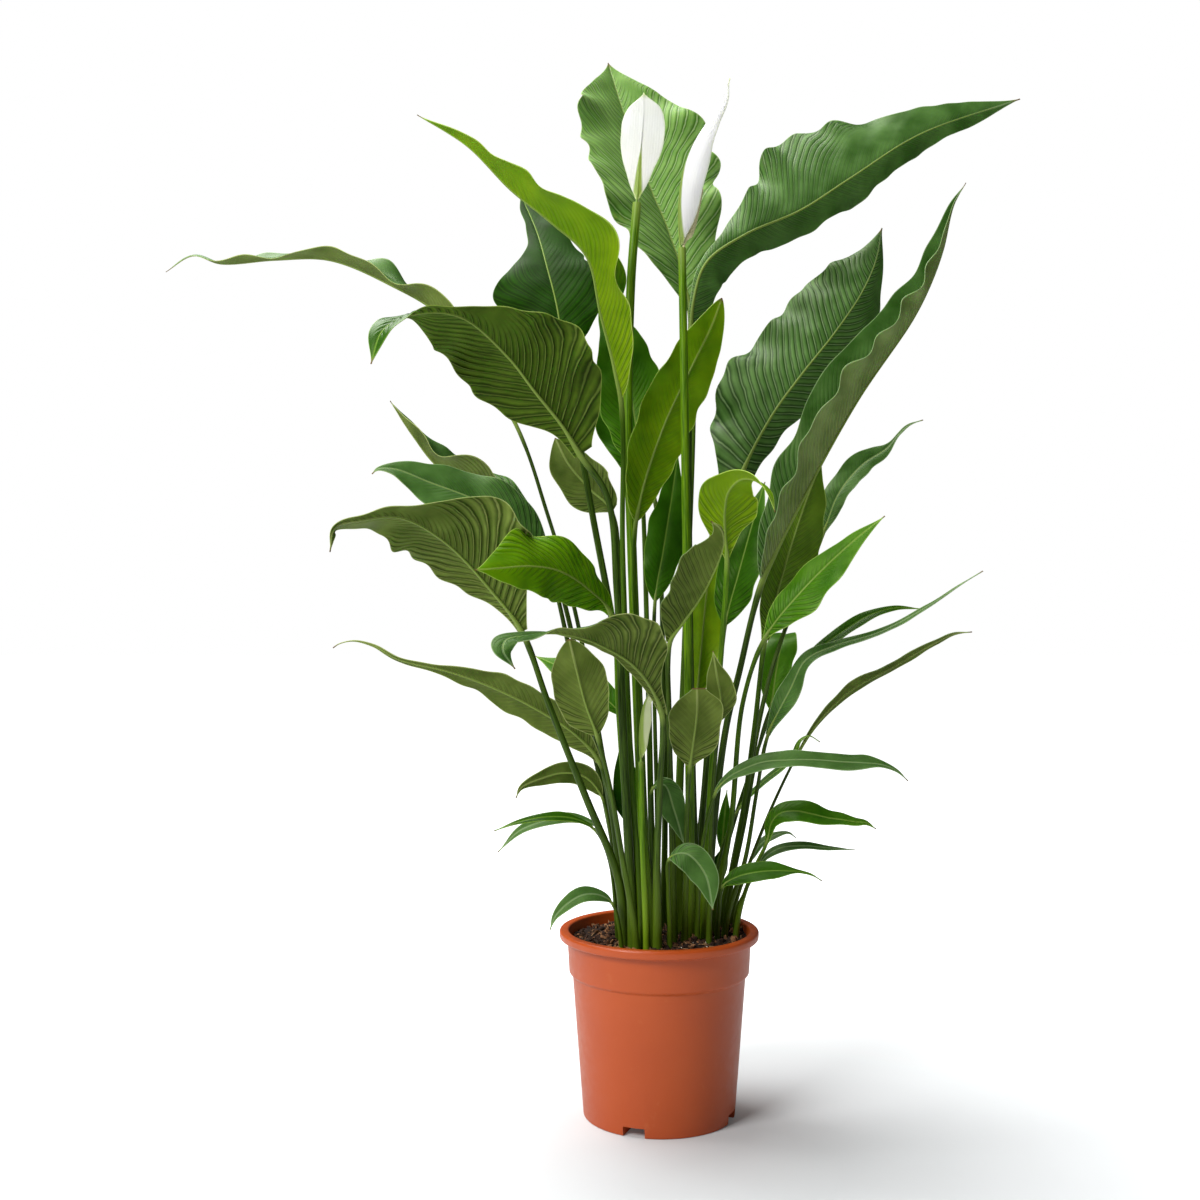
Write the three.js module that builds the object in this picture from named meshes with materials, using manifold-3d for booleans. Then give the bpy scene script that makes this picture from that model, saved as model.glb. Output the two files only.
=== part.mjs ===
// A potted peace lily: a round plastic nursery pot filled with soil, leaves that rise on long stalks
// from four crowded crowns, two open blooms and one young one. Millimetres, +Z up.
// The origin is on the pot's axis, on the surface that the pot stands on.
import * as THREE from "three";
import { mergeVertices } from "three/addons/utils/BufferGeometryUtils.js";
import Module from "manifold-3d";

const wasm = await Module();
wasm.setup();

// ---------------------------------------------------------------- driving dimensions
const POT_HEIGHT = 184;
const POT_SIDES = 48;
const WALL = 1.8;
const RIM_RADIUS = 99.5;
const LIP_HEIGHT = 9;
const LIP_ROUND = 3;
const LIP_BEVEL = 0.9;
const BAND_TOP_RADIUS = 91.5;
const BAND_BOTTOM_RADIUS = 89.7;
const BAND_BOTTOM = 142;
const STEP_DROP = 3;
const BODY_TOP_RADIUS = 86.2;
const FOOT_RADIUS = 75.5;
const FOOT_BEVEL = 1.2;
const BASE_THICKNESS = 2.4;

const NOTCH_COUNT = 4;
const NOTCH_WIDTH = 22;
const NOTCH_HEIGHT = 9.5;
const NOTCH_TURN = THREE.MathUtils.degToRad(-111);
const CHANNEL_START = 38;
const CHANNEL_ROOF = 2;
const CUT_PAST = 4;
const DRAIN_RADIUS = 5;
const DRAIN_PLACE = 56;
const DRAIN_SIDES = 12;

const SOIL_LEVEL = 174;
const SOIL_RELIEF = 1.9;
const LONG_RIPPLE_SHARE = 0.6;
const RIPPLE_PHASE = 1.1;
const SHORT_RIPPLE = [0.13, 0.11];
const LONG_RIPPLE = [0.07, 0.16];
const SOIL_MOUND = 9;
const MOUND_PLACE = [40, 34];
const MOUND_SPREAD = 37;
const SOIL_RINGS = 5;
const ROOT_DEPTH = 30;
const COLLAR_HEIGHT = 24;
const CLEARANCE = 0.35;

const BLADE_THICKNESS = 0.9;
const TIP_WIDTH = 1.2;
const STALK_TAPER = 0.62;
const RIB_SHARE = 1.1;
const RIB_FALL = 1.3;
const RADIUS_PER_WIDTH = 0.026;
const HALF_PHASE = 1.9;
const COLLAR_LEAN = 0.6;
const WIDE_BLADE = 60;
const LEAST_STALK_RADIUS = 1.8;
const MOST_STALK_RADIUS = 4.6;

const BLOOM_STALK_FLARE = 1.25;
const BLOOM_STALK_SIDES = 8;
const BLOOM_STALK_STEPS = 12;
const SEAT_OFFSET = 1.8;
const SEAT_RISE = 3;
const HOOD_NECK_RADIUS = 1.5;
const SPADIX_BASE_RADIUS = 1.4;
const SPADIX_STEPS = 8;
const SPADIX_STIPE = 0.12;
const SPADIX_SWELL = 20;

// ---------------------------------------------------------------- lines of sight
// Leaves and blooms are placed as they are seen from in front. A point [across, up, back] lies
// "back" behind the pot's axis. "across" and "up" are where its line of sight to the eye crosses the
// upright plane through the axis.
const EYE_ACROSS = -59;
const EYE_DISTANCE = 1463;
const EYE_HEIGHT = 512;

function sighted([across, up, back]) {
  const reach = 1 + back / EYE_DISTANCE;
  const x = EYE_ACROSS + (across - EYE_ACROSS) * reach;
  const z = EYE_HEIGHT + (up - EYE_HEIGHT) * reach;
  return new THREE.Vector3(x, back, z);
}

// ---------------------------------------------------------------- colours
const FINISHES = {
  terracotta: { color: "#bf5f35", roughness: 0.45 },
  peat: { color: "#33241a", roughness: 1 },
  dark: { color: "#2f5a2a", roughness: 0.35 },
  green: { color: "#3e7a2c", roughness: 0.4 },
  bright: { color: "#5e8f12", roughness: 0.45 },
  olive: { color: "#6e7f4e", roughness: 0.5 },
  white: { color: "#f4f2e8", roughness: 0.5 },
  cream: { color: "#e6dfae", roughness: 0.7 },
};

function finish(name) {
  const { color, roughness } = FINISHES[name];
  return new THREE.MeshStandardMaterial({ color, roughness, metalness: 0 });
}

// ---------------------------------------------------------------- solids
function toManifold(geometry) {
  const bare = geometry.clone();
  bare.deleteAttribute("normal");
  bare.deleteAttribute("uv");
  const merged = mergeVertices(bare, 1e-4);
  const vertProperties = new Float32Array(merged.attributes.position.array);
  const triVerts = new Uint32Array(merged.index.array);
  return new wasm.Manifold(new wasm.Mesh({ numProp: 3, vertProperties, triVerts }));
}

function fromManifold(solid) {
  const mesh = solid.getMesh();
  const geometry = new THREE.BufferGeometry();
  geometry.setAttribute("position", new THREE.BufferAttribute(new Float32Array(mesh.vertProperties), 3));
  geometry.setIndex(new THREE.BufferAttribute(new Uint32Array(mesh.triVerts), 1));
  return geometry;
}

// A closed skin through rings of points. A blade's rings hold the top face from left to right, then the
// underside from right to left; both faces are split along the same diagonals.
function loft(rings) {
  const count = rings[0].length;
  const half = count / 2;
  const positions = rings.flat().flatMap((p) => [p.x, p.y, p.z]);
  const faces = [];
  for (let i = 0; i + 1 < rings.length; i += 1) {
    for (let j = 0; j < count; j += 1) {
      const next = (j + 1) % count;
      const a = i * count + j;
      const b = i * count + next;
      const c = (i + 1) * count + next;
      const d = (i + 1) * count + j;
      if (j < half) {
        faces.push(a, b, c, a, c, d);
      } else {
        faces.push(a, b, d, b, c, d);
      }
    }
  }
  const last = (rings.length - 1) * count;
  for (let j = 1; j + 1 < count; j += 1) {
    faces.push(0, j + 1, j);
    faces.push(last, last + j, last + j + 1);
  }
  const geometry = new THREE.BufferGeometry();
  geometry.setAttribute("position", new THREE.Float32BufferAttribute(positions, 3));
  geometry.setIndex(faces);
  return geometry;
}

// Places along a stretch of a curve, evenly spaced by length where spread says so (0 to 1 each).
function stationsAlong(curve, from, to, spread) {
  const steps = 200;
  const lengths = [0];
  let before = curve.getPoint(from);
  for (let i = 1; i <= steps; i += 1) {
    const point = curve.getPoint(from + ((to - from) * i) / steps);
    lengths.push(lengths[i - 1] + point.distanceTo(before));
    before = point;
  }
  return spread.map((share) => {
    const wanted = share * lengths[steps];
    let i = 1;
    while (i < steps && lengths[i] < wanted) {
      i += 1;
    }
    const within = (wanted - lengths[i - 1]) / (lengths[i] - lengths[i - 1]);
    return from + ((to - from) * (i - 1 + within)) / steps;
  });
}

function evenSpread(count) {
  return Array.from({ length: count }, (_, i) => (i + 1) / count);
}

// Closer together near the stalk and the tip.
function bladeSpread(count) {
  const crowding = 0.35;
  return evenSpread(count).map((s) => (1 - crowding) * s + (crowding / 2) * (1 - Math.cos(Math.PI * s)));
}

function mixAlong(values, t) {
  const place = t * (values.length - 1);
  const i = Math.min(Math.floor(place), values.length - 2);
  return values.length === 1 ? values[0] : values[i] + (values[i + 1] - values[i]) * (place - i);
}

function faceAlong(faces, t) {
  const parts = [0, 1, 2].map((axis) => mixAlong(faces.map((face) => face[axis]), t));
  return new THREE.Vector3(...parts);
}

function squareTo(direction, tangent) {
  return direction.clone().addScaledVector(tangent, -direction.dot(tangent)).normalize();
}

function stalkRing(centre, side, up, radius, points) {
  return Array.from({ length: points }, (_, j) => {
    const angle = Math.PI * (1 - (2 * j + 1) / points);
    return centre
      .clone()
      .addScaledVector(side, radius * Math.cos(angle))
      .addScaledVector(up, radius * Math.sin(angle));
  });
}

// How far a blade reaches sideways and upwards at a share of its half width, where it leaves the
// midrib at one angle and turns down towards its edge by another.
function bentAcross(share, lift, curl) {
  const start = THREE.MathUtils.degToRad(lift);
  const turn = THREE.MathUtils.degToRad(curl);
  if (Math.abs(turn) < 1e-3) {
    return [share * Math.cos(start), share * Math.sin(start)];
  }
  const end = start - turn * share;
  return [(Math.sin(start) - Math.sin(end)) / turn, (Math.cos(end) - Math.cos(start)) / turn];
}

function bladeOutline(t, [rise, fall]) {
  const peak = rise / (rise + fall);
  return (t ** rise * (1 - t) ** fall) / (peak ** rise * (1 - peak) ** fall);
}

// A smooth line through evenly spaced values, at t from 0 to 1.
function smoothAlong(values, t) {
  const place = t * (values.length - 1);
  const i = Math.min(Math.floor(place), values.length - 2);
  const w = place - i;
  const before = values[Math.max(i - 1, 0)];
  const after = values[Math.min(i + 2, values.length - 1)];
  const leave = (values[i + 1] - before) / 2;
  const arrive = (after - values[i]) / 2;
  const bend = 3 * (values[i + 1] - values[i]) - 2 * leave - arrive;
  const turn = 2 * (values[i] - values[i + 1]) + leave + arrive;
  return values[i] + leave * w + bend * w ** 2 + turn * w ** 3;
}

// How far one half of a blade reaches from its midrib.
function halfReach({ width, outline, reach }, half, t) {
  const wanted = reach ? smoothAlong(reach[half], t) : (width / 2) * bladeOutline(t, outline);
  return Math.max(wanted, TIP_WIDTH / 2);
}

// What a leaf has where its row in the table doesn't say otherwise: wide blades have more points.
function filledIn(leaf) {
  const wide = leaf.width > WIDE_BLADE;
  return {
    radius: Math.min(LEAST_STALK_RADIUS + leaf.width * RADIUS_PER_WIDTH, MOST_STALK_RADIUS),
    lift: [14, 14],
    curl: 20,
    wave: [0.05, 2.5],
    outline: [0.8, 1.25],
    phase: 0,
    across: wide ? 5 : 3,
    bladeSteps: wide ? 10 : 7,
    stalkSteps: 3,
    ...leaf,
  };
}

// One leaf or spathe: a round stalk that turns into a thin waved blade.
function leafGeometry(leaf) {
  const { stalkPath, midrib, radius, face, lift, curl, wave, phase } = leaf;
  const { across, stalkSteps, bladeSteps } = leaf;
  const points = [...stalkPath, ...midrib];
  const curve = new THREE.CatmullRomCurve3(points, false, "centripetal");
  const span = points.length - 1;
  const collar = 1 / span;
  const baseAt = (stalkPath.length - 1) / span;
  const stalk = [0, collar, ...stationsAlong(curve, collar, baseAt, evenSpread(stalkSteps))];
  const shares = bladeSpread(bladeSteps);
  const bladePlaces = stationsAlong(curve, baseAt, 1, shares);
  const ringPoints = 2 * across;

  const neck = radius * STALK_TAPER;
  const stalkRings = [];
  let up = squareTo(faceAlong(face, 0), curve.getTangent(baseAt));
  for (let i = stalk.length - 1; i >= 0; i -= 1) {
    const tangent = curve.getTangent(stalk[i]);
    up = squareTo(up, tangent);
    const side = new THREE.Vector3().crossVectors(tangent, up);
    const thick = neck + (radius - neck) * (1 - i / (stalk.length - 1));
    stalkRings.unshift(stalkRing(curve.getPoint(stalk[i]), side, up, thick, ringPoints));
  }

  const middles = bladePlaces.map((place, i) => {
    const t = shares[i];
    const centre = curve.getPoint(place);
    const tangent = curve.getTangent(place);
    const upper = squareTo(faceAlong(face, t), tangent);
    const side = new THREE.Vector3().crossVectors(tangent, upper);
    return Array.from({ length: across }, (_, k) => {
      const u = (2 * k) / (across - 1) - 1;
      const half = u < 0 ? 0 : 1;
      const reach = halfReach(leaf, half, t);
      const angle = mixAlong([lift[half], lift[half + 2] ?? lift[half]], t);
      const [out, rise] = bentAcross(Math.abs(u), angle, curl);
      const swing = Math.sin(2 * Math.PI * wave[1] * t + phase + half * HALF_PHASE);
      const ripple = wave[0] * reach * u * u * swing;
      return centre
        .clone()
        .addScaledVector(side, Math.sign(u) * out * reach)
        .addScaledVector(upper, rise * reach + ripple);
    });
  });

  const bladeRings = middles.map((row, i) => {
    const t = shares[i];
    const before = middles[Math.max(i - 1, 0)];
    const after = middles[Math.min(i + 1, middles.length - 1)];
    const rib = neck * RIB_SHARE * (1 - t) ** RIB_FALL;
    const normals = row.map((_, k) => {
      const along = after[k].clone().sub(before[k]);
      const sideways = row[Math.min(k + 1, across - 1)].clone().sub(row[Math.max(k - 1, 0)]);
      return sideways.cross(along).normalize();
    });
    const top = row.map((p, k) => p.clone().addScaledVector(normals[k], BLADE_THICKNESS / 2));
    const under = row.map((p, k) => {
      const deeper = 2 * k + 1 === across ? rib : 0;
      return p.clone().addScaledVector(normals[k], -BLADE_THICKNESS / 2 - deeper);
    });
    return [...top, ...under.reverse()];
  });
  return loft([...stalkRings, ...bladeRings]);
}

// The stretch of a stalk in the soil, and up to the collar just above it.
function rootedPath(root, path) {
  const bottom = new THREE.Vector3(root[0], root[1], SOIL_LEVEL - ROOT_DEPTH);
  const rise = ROOT_DEPTH + COLLAR_HEIGHT;
  const lean = path[0].clone().sub(bottom);
  const collar = bottom.clone().addScaledVector(lean, (COLLAR_LEAN * rise) / lean.z);
  collar.z = bottom.z + rise;
  return [bottom, collar, ...path];
}

// The plain hole that a stalk stands in: the same stretch, a little wider and deeper.
function rootHole(path, radius, points) {
  const [bottom, collar] = path;
  const along = collar.clone().sub(bottom).normalize();
  const start = bottom.clone().addScaledVector(along, -CLEARANCE);
  const wide = radius + 2 * CLEARANCE;
  const up = squareTo(new THREE.Vector3(0, -1, 0), along);
  const side = new THREE.Vector3().crossVectors(along, up);
  return loft([stalkRing(start, side, up, wide, points), stalkRing(collar, side, up, wide, points)]);
}

// ---------------------------------------------------------------- leaves
// root: where the stalk enters the soil [x, y]. stem: places on the stalk, from the soil up. blade:
// places on the midrib, from the stalk to the tip. face: where the upper side looks, from base to tip.
// lift: how far the left and right halves rise from flat, in degrees, at the base and at the tip.
// reach: how far the left and right halves reach from the midrib, at even steps from base to tip.
const LEAVES = {
  // The crown: upright behind the blooms, and the long one to its right.
  leaf_centre_1: {
    root: [21, 8], stem: [[20, 300, 32], [28, 520, 64]], width: 162, tone: "green",
    blade: [
      [31, 800, 100], [9, 882, 122], [-7, 920, 136], [-23, 964, 152], [-38, 1007, 170],
      [-51, 1049, 188],
    ],
    face: [[-0.1, -0.95, 0.3]], lift: [56, 8, 50, 8], phase: 1, bladeSteps: 11,
    reach: [[4, 46, 74, 76, 74, 52, 0], [4, 38, 62, 78, 76, 44, 0]],
  },
  leaf_right_1: {
    root: [40, 1], stem: [[34, 300, 8], [30, 560, 18]], width: 145, tone: "dark",
    blade: [
      [31, 762, 24], [34, 812, 30], [47, 850, 36], [86, 878, 48], [141, 902, 62], [191, 934, 76],
      [261, 978, 94], [361, 1013, 118],
    ],
    face: [[-0.5, -0.85, 0.08], [-0.2, -0.9, 0.3]], lift: [4, -50, 4, -30], bladeSteps: 13,
    reach: [[3, 4, 14, 54, 92, 76, 40, 21, 0], [8, 26, 28, 27, 27, 24, 18, 12, 0]],
  },
  leaf_right_2: {
    root: [32, 38], stem: [[44, 300, 50], [60, 500, 60]], width: 150, tone: "dark",
    blade: [
      [80, 630, 66], [111, 694, 76], [141, 736, 88], [176, 780, 104], [203, 820, 120], [217, 852, 134],
      [223, 884, 146],
    ],
    face: [[-0.35, -0.85, 0.3]], lift: [4, -45, 8, -45], phase: 2, bladeSteps: 13,
    reach: [[24, 66, 78, 72, 70, 50, 0], [14, 22, 34, 42, 40, 17, 0]],
  },
  leaf_right_3: {
    root: [50, 18], stem: [[51, 250, 10], [66, 380, -4], [80, 440, -8]],
    width: 84, radius: 4.8, tone: "olive",
    blade: [
      [103, 530, -10], [142, 612, -8], [198, 712, -4], [253, 792, 4], [271, 827, 8], [284, 862, 12],
      [295, 907, 18], [307, 929, 22],
    ],
    face: [[-0.9, -0.1, 0.45]], lift: [78, 58, 84, 34], curl: 10, bladeSteps: 12,
  },
  leaf_right_4: {
    root: [66, 41], stem: [[84, 300, 54], [112, 440, 70]], width: 50, tone: "dark",
    blade: [
      [164, 578, 88], [180, 619, 96], [203, 647, 106], [228, 664, 114], [240, 678, 120], [250, 687, 124],
      [264, 692, 128],
    ],
    face: [[-0.4, -0.8, 0.4]], bladeSteps: 9,
    reach: [[2, 12, 16, 17, 16, 11, 3, 2, 0], [2, 9, 12, 13, 13, 10, 3, 2, 0]],
  },
  leaf_right_5: {
    root: [52, 6], stem: [[72, 290, -8], [84, 410, -20]], width: 62, tone: "bright",
    blade: [[106, 474, -28], [141, 519, -34], [191, 568, -40], [226, 596, -44]],
    face: [[-0.5, -0.75, 0.4]], wave: [0.08, 2.5],
    reach: [[3, 14, 19, 16, 12, 6, 0], [3, 18, 26, 25, 18, 8, 0]],
  },
  leaf_right_6: {
    root: [60, 27], stem: [[78, 260, 30], [95, 380, 32]], width: 74, tone: "olive",
    blade: [[106, 472, 34], [116, 512, 36], [131, 563, 38], [147, 611, 40], [163, 654, 44]],
    face: [[-0.2, 0.95, 0.2]], lift: [12, 12],
    reach: [[4, 22, 30, 33, 29, 17, 0], [4, 14, 20, 22, 20, 10, 0]],
  },
  leaf_right_7: {
    root: [64, 14], stem: [[84, 280, 14], [110, 400, 14]], width: 16, tone: "dark",
    blade: [
      [139, 444, 16], [161, 464, 18], [186, 482, 20], [211, 497, 22], [236, 504, 26], [263, 503, 30],
    ],
    face: [[-0.4, -0.7, 0.6]],
  },
  leaf_right_8: {
    root: [62, 2], stem: [[86, 252, -2], [98, 322, -6]], width: 36, tone: "bright",
    blade: [
      [109, 377, -10], [131, 422, -12], [147, 452, -14], [175, 466, -14], [221, 480, -14],
      [271, 507, -12], [301, 527, -10], [324, 541, -8],
    ],
    face: [[-0.6, -0.7, 0.4], [-0.2, -0.5, 0.8]], bladeSteps: 10,
    reach: [[3, 12, 10, 7, 5, 4, 3, 1.5, 0], [3, 13, 11, 7, 5, 4, 3, 1.5, 0]],
  },
  leaf_right_9: {
    root: [70, 31], stem: [[94, 258, 44], [116, 312, 52]], width: 15, tone: "olive",
    blade: [
      [141, 362, 60], [160, 391, 64], [191, 421, 68], [236, 446, 74], [278, 470, 80], [295, 478, 83],
      [313, 480, 86],
    ],
    face: [[-0.3, 0.8, 0.5]], bladeSteps: 9,
    reach: [[2, 3, 5, 6, 6, 5, 4, 3, 0], [2, 4, 7, 9, 8, 7, 5, 3, 0]],
  },
  leaf_right_10: {
    root: [51, 62], stem: [[78, 300, 80]], width: 36, tone: "green",
    blade: [[111, 402, 88], [117, 440, 94], [123, 470, 106], [128, 478, 132], [132, 466, 156]],
    face: [[-0.2, -0.95, 0.3], [0, 0, 1]],
  },
  leaf_right_11: {
    root: [36, -23], stem: [[41, 250, -38]], width: 26, tone: "green",
    blade: [
      [57, 320, -54], [69, 334, -56], [85, 343, -58], [105, 350, -60], [131, 352, -63], [158, 352, -65],
      [184, 350, -67], [205, 349, -70], [223, 347, -72], [238, 341, -73], [249, 331, -74],
    ],
    face: [[-0.5, -0.5, 0.6], [0, -0.4, 0.9]], bladeSteps: 10,
    reach: [[3, 7, 11, 12, 12, 13, 12, 5, 0], [3, 7, 11, 12, 12, 13, 12, 5, 0]],
  },
  leaf_right_12: {
    root: [74, 4], stem: [[92, 236, 4]], width: 30, tone: "green",
    blade: [
      [108, 270, 2], [113, 290, 1], [122, 299, 0], [137, 301, -2], [153, 298, -4], [170, 294, -6],
      [185, 292, -8], [197, 290, -9], [207, 289, -10], [217, 283, -11],
    ],
    face: [[-0.5, -0.5, 0.5], [0, -0.5, 0.85]], bladeSteps: 9,
    reach: [[3, 7, 12, 15, 14, 10, 8, 5, 0], [3, 7, 12, 15, 14, 10, 8, 5, 0]],
  },
  leaf_right_13: {
    root: [74, 18], stem: [[84, 216, 20]], width: 14, tone: "olive",
    blade: [[98, 243, 22], [108, 256, 23], [122, 264, 24], [145, 266, 26], [169, 264, 27], [196, 262, 28]],
    face: [[-0.5, -0.4, 0.6], [0, -0.4, 0.9]],
  },
  leaf_right_14: {
    root: [59, 50], stem: [[76, 222, 57]], width: 12, tone: "olive",
    blade: [[91, 250, 62], [103, 269, 64], [120, 278, 66], [130, 279, 67], [137, 274, 68]],
    face: [[-0.5, -0.4, 0.6], [0, -0.4, 0.9]],
  },
  leaf_right_15: {
    root: [56, -10], stem: [], width: 24, tone: "dark",
    blade: [
      [64, 226, -16], [78, 235, -18], [93, 239, -20], [110, 241, -21], [127, 241, -23], [142, 240, -25],
      [153, 237, -26], [163, 231, -28],
    ],
    face: [[-0.5, -0.5, 0.5], [0, -0.45, 0.9]],
    reach: [[3, 9, 12, 13, 12, 8, 3, 1.5, 0], [3, 9, 12, 13, 12, 8, 3, 1.5, 0]],
  },
  leaf_right_16: {
    root: [50, 40], stem: [], width: 18, tone: "dark", stalkSteps: 2,
    blade: [[55, 226, 42], [60, 244, 44], [66, 264, 48]],
    face: [[-0.2, -0.9, 0.3]], outline: [0.8, 0.8], bladeSteps: 5,
  },
  leaf_right_17: {
    root: [40, 26], stem: [[44, 300, 28], [57, 400, 25]], width: 50, tone: "dark",
    blade: [[66, 486, 22], [80, 540, 20], [96, 597, 20], [106, 630, 24]],
    face: [[-0.5, -0.8, 0.2]],
  },
  // A narrow upright leaf and a grass-like one among the right-hand stalks.
  leaf_right_18: {
    root: [46, 52], stem: [], width: 14, tone: "green", stalkSteps: 3,
    blade: [[62, 262, 58], [65, 290, 60], [68, 322, 64]],
    face: [[-0.2, -0.9, 0.3]], bladeSteps: 5,
  },
  leaf_right_19: {
    root: [50, 29], stem: [[62, 260, 36]], width: 10, tone: "green",
    blade: [[78, 300, 40], [101, 327, 43], [133, 354, 46], [141, 371, 48], [150, 376, 50], [161, 370, 52]],
    face: [[-0.5, -0.4, 0.6], [0, -0.4, 0.9]],
  },
  // In front of the right-hand stalk of the blooms, and around it.
  leaf_centre_2: {
    root: [28, 16], stem: [[33, 300, 21]], width: 40, tone: "bright",
    blade: [[38, 412, 32], [43, 470, 36], [50, 540, 40], [60, 600, 46]],
    face: [[0.2, 0.95, 0.1]],
  },
  leaf_centre_3: {
    root: [14, -14], stem: [[13, 280, -24], [10, 400, -40]], width: 74, tone: "olive",
    blade: [
      [11, 470, -56], [22, 487, -68], [35, 505, -82], [46, 522, -94], [54, 538, -104], [61, 554, -112],
      [65, 570, -120], [62, 583, -126], [52, 591, -130],
    ],
    face: [[-0.3, 0.8, 0.5]], lift: [84, 8, 70, 8], curl: 10, bladeSteps: 10,
    reach: [[2, 8, 12, 13, 11, 7, 0], [4, 24, 33, 37, 36, 25, 0]],
  },
  leaf_centre_4: {
    root: [42, -11], stem: [[52, 330, -22], [63, 470, -38]], width: 74, tone: "bright",
    blade: [
      [68, 552, -60], [66, 580, -70], [66, 602, -84], [70, 621, -104], [83, 633, -126], [99, 630, -146],
      [110, 618, -158], [116, 600, -166],
    ],
    face: [[0, 0.9, 0.3], [0.2, 0.5, 0.8], [0.5, -0.5, 0.6]], lift: [20, 24], bladeSteps: 11,
    reach: [[2, 13, 28, 31, 22, 13, 9, 5, 0], [2, 13, 25, 28, 20, 13, 9, 5, 0]],
  },
  leaf_centre_5: {
    root: [24, -24], stem: [[27, 240, -40], [28, 300, -54]], width: 50, tone: "olive",
    blade: [[31, 346, -68], [35, 374, -76], [38, 400, -81], [38, 424, -80]],
    face: [[-0.1, 0.95, 0.2], [0, 0.8, 0.5]], across: 5, bladeSteps: 8,
    reach: [[4, 17, 24, 25, 25, 22, 8], [4, 17, 24, 25, 25, 20, 4]],
  },
  leaf_centre_6: {
    root: [48, -21], stem: [[54, 320, -34]], width: 30, tone: "olive",
    blade: [[60, 390, -48], [62, 412, -53], [58, 436, -58], [54, 461, -62]],
    face: [[-0.2, 0.9, 0.3], [0.6, 0.6, 0.3]], wave: [0.2, 2],
  },
  leaf_centre_7: {
    root: [9, -43], stem: [[9, 222, -60]], width: 31, tone: "green",
    blade: [[11, 254, -82], [28, 258, -96], [46, 238, -104], [54, 202, -108]],
    face: [[-0.2, -0.6, 0.8], [-0.1, -0.9, 0.3]],
    reach: [[3, 11, 14, 13, 11, 6, 0], [3, 13, 17, 16, 12, 6, 0]],
  },
  leaf_centre_8: {
    root: [-7, -38], stem: [[-16, 300, -38], [-22, 460, -32]], width: 60, tone: "bright",
    blade: [[-23, 590, -24], [2, 679, -14], [31, 742, -8], [52, 785, -6], [63, 814, -6]],
    face: [[-0.3, 0.9, 0.2]], lift: [14, 14], outline: [0.7, 0.75], bladeSteps: 10, across: 5,
  },
  leaf_centre_9: {
    root: [1, 10], stem: [[-2, 300, 24]], width: 40, tone: "dark",
    blade: [[-4, 510, 44], [4, 560, 48], [12, 610, 54], [19, 660, 62]],
    face: [[0, -0.95, 0.2]],
  },
  leaf_centre_10: {
    root: [-3, -26], stem: [[-8, 280, -38]], width: 26, tone: "olive",
    blade: [[-6, 324, -46], [5, 327, -48], [15, 302, -44], [25, 268, -36]],
    face: [[0, -0.5, 0.8], [-0.1, -0.9, 0.3]],
  },
  // The left-hand crown, from the longest leaves down to the lowest.
  leaf_left_1: {
    root: [-16, -44], stem: [[-27, 330, -46], [-36, 560, -42]], width: 86, tone: "bright",
    blade: [
      [-38, 712, -38], [-58, 800, -38], [-72, 856, -40], [-108, 890, -44], [-148, 922, -48],
      [-192, 966, -54], [-242, 997, -60],
    ],
    face: [[1, 0, 0.3], [0.5, 0, 0.85]], lift: [50, 50, 30, 30], curl: 10, bladeSteps: 12,
  },
  leaf_left_2: {
    root: [-26, -42], stem: [[-34, 330, -54], [-42, 520, -60], [-52, 616, -68]], width: 118, tone: "olive",
    blade: [
      [-79, 657, -78], [-97, 686, -88], [-124, 720, -104], [-152, 756, -120], [-198, 795, -146],
      [-244, 798, -168], [-276, 782, -184], [-288, 748, -194],
    ],
    face: [[-0.3, 0.85, 0.4], [-0.35, 0.7, 0.6], [-0.35, 0.2, 0.9], [-0.3, -0.75, 0.55]],
    lift: [14, 20, 10, 20], bladeSteps: 14,
    reach: [[14, 50, 66, 62, 36, 14, 12, 14, 0], [6, 14, 38, 47, 50, 52, 30, 16, 0]],
  },
  leaf_left_3: {
    root: [-33, -14], stem: [[-49, 312, -12], [-84, 502, -4], [-112, 600, 2]], width: 50, tone: "olive",
    blade: [
      [-143, 687, 8], [-213, 792, 22], [-270, 828, 34], [-330, 852, 46], [-384, 852, 56], [-438, 848, 66],
      [-466, 856, 72], [-493, 840, 78],
    ],
    face: [[0.6, 0, 0.8], [0.1, -0.3, 0.95]], lift: [50, 50, 20, 20], outline: [0.7, 1], bladeSteps: 11,
    wave: [0.25, 4],
  },
  leaf_left_4: {
    root: [-21, 3], stem: [[-28, 300, 22], [-42, 460, 30], [-67, 600, 36]], width: 112, tone: "dark",
    blade: [[-94, 752, 42], [-102, 805, 54], [-112, 845, 76], [-122, 880, 108], [-139, 919, 150]],
    face: [[0.1, -0.9, 0.4], [0, -0.6, 0.8]], lift: [8, 8], bladeSteps: 12,
    reach: [[4, 36, 54, 60, 34, 14, 10, 8, 0], [4, 30, 46, 50, 46, 34, 20, 9, 0]],
  },
  leaf_left_5: {
    root: [-33, -35], stem: [[-42, 238, -40], [-72, 312, -48], [-110, 407, -52]], width: 98, tone: "olive",
    stalkSteps: 4,
    blade: [
      [-137, 480, -50], [-165, 518, -58], [-213, 569, -84], [-258, 594, -110], [-300, 591, -134],
      [-324, 584, -150], [-329, 560, -158],
    ],
    face: [[-0.2, 0.9, 0.3], [-0.2, 0.6, 0.7]], lift: [6, 42, 10, 30], bladeSteps: 12,
    reach: [[6, 30, 58, 70, 47, 20, 9, 5, 0], [4, 10, 26, 41, 45, 39, 23, 11, 0]],
  },
  leaf_left_6: {
    root: [-34, 22], stem: [[-46, 270, 34], [-84, 440, 48]], width: 70, tone: "olive",
    blade: [[-126, 584, 56], [-176, 624, 62], [-219, 644, 66], [-246, 676, 70], [-269, 711, 74]],
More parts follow.
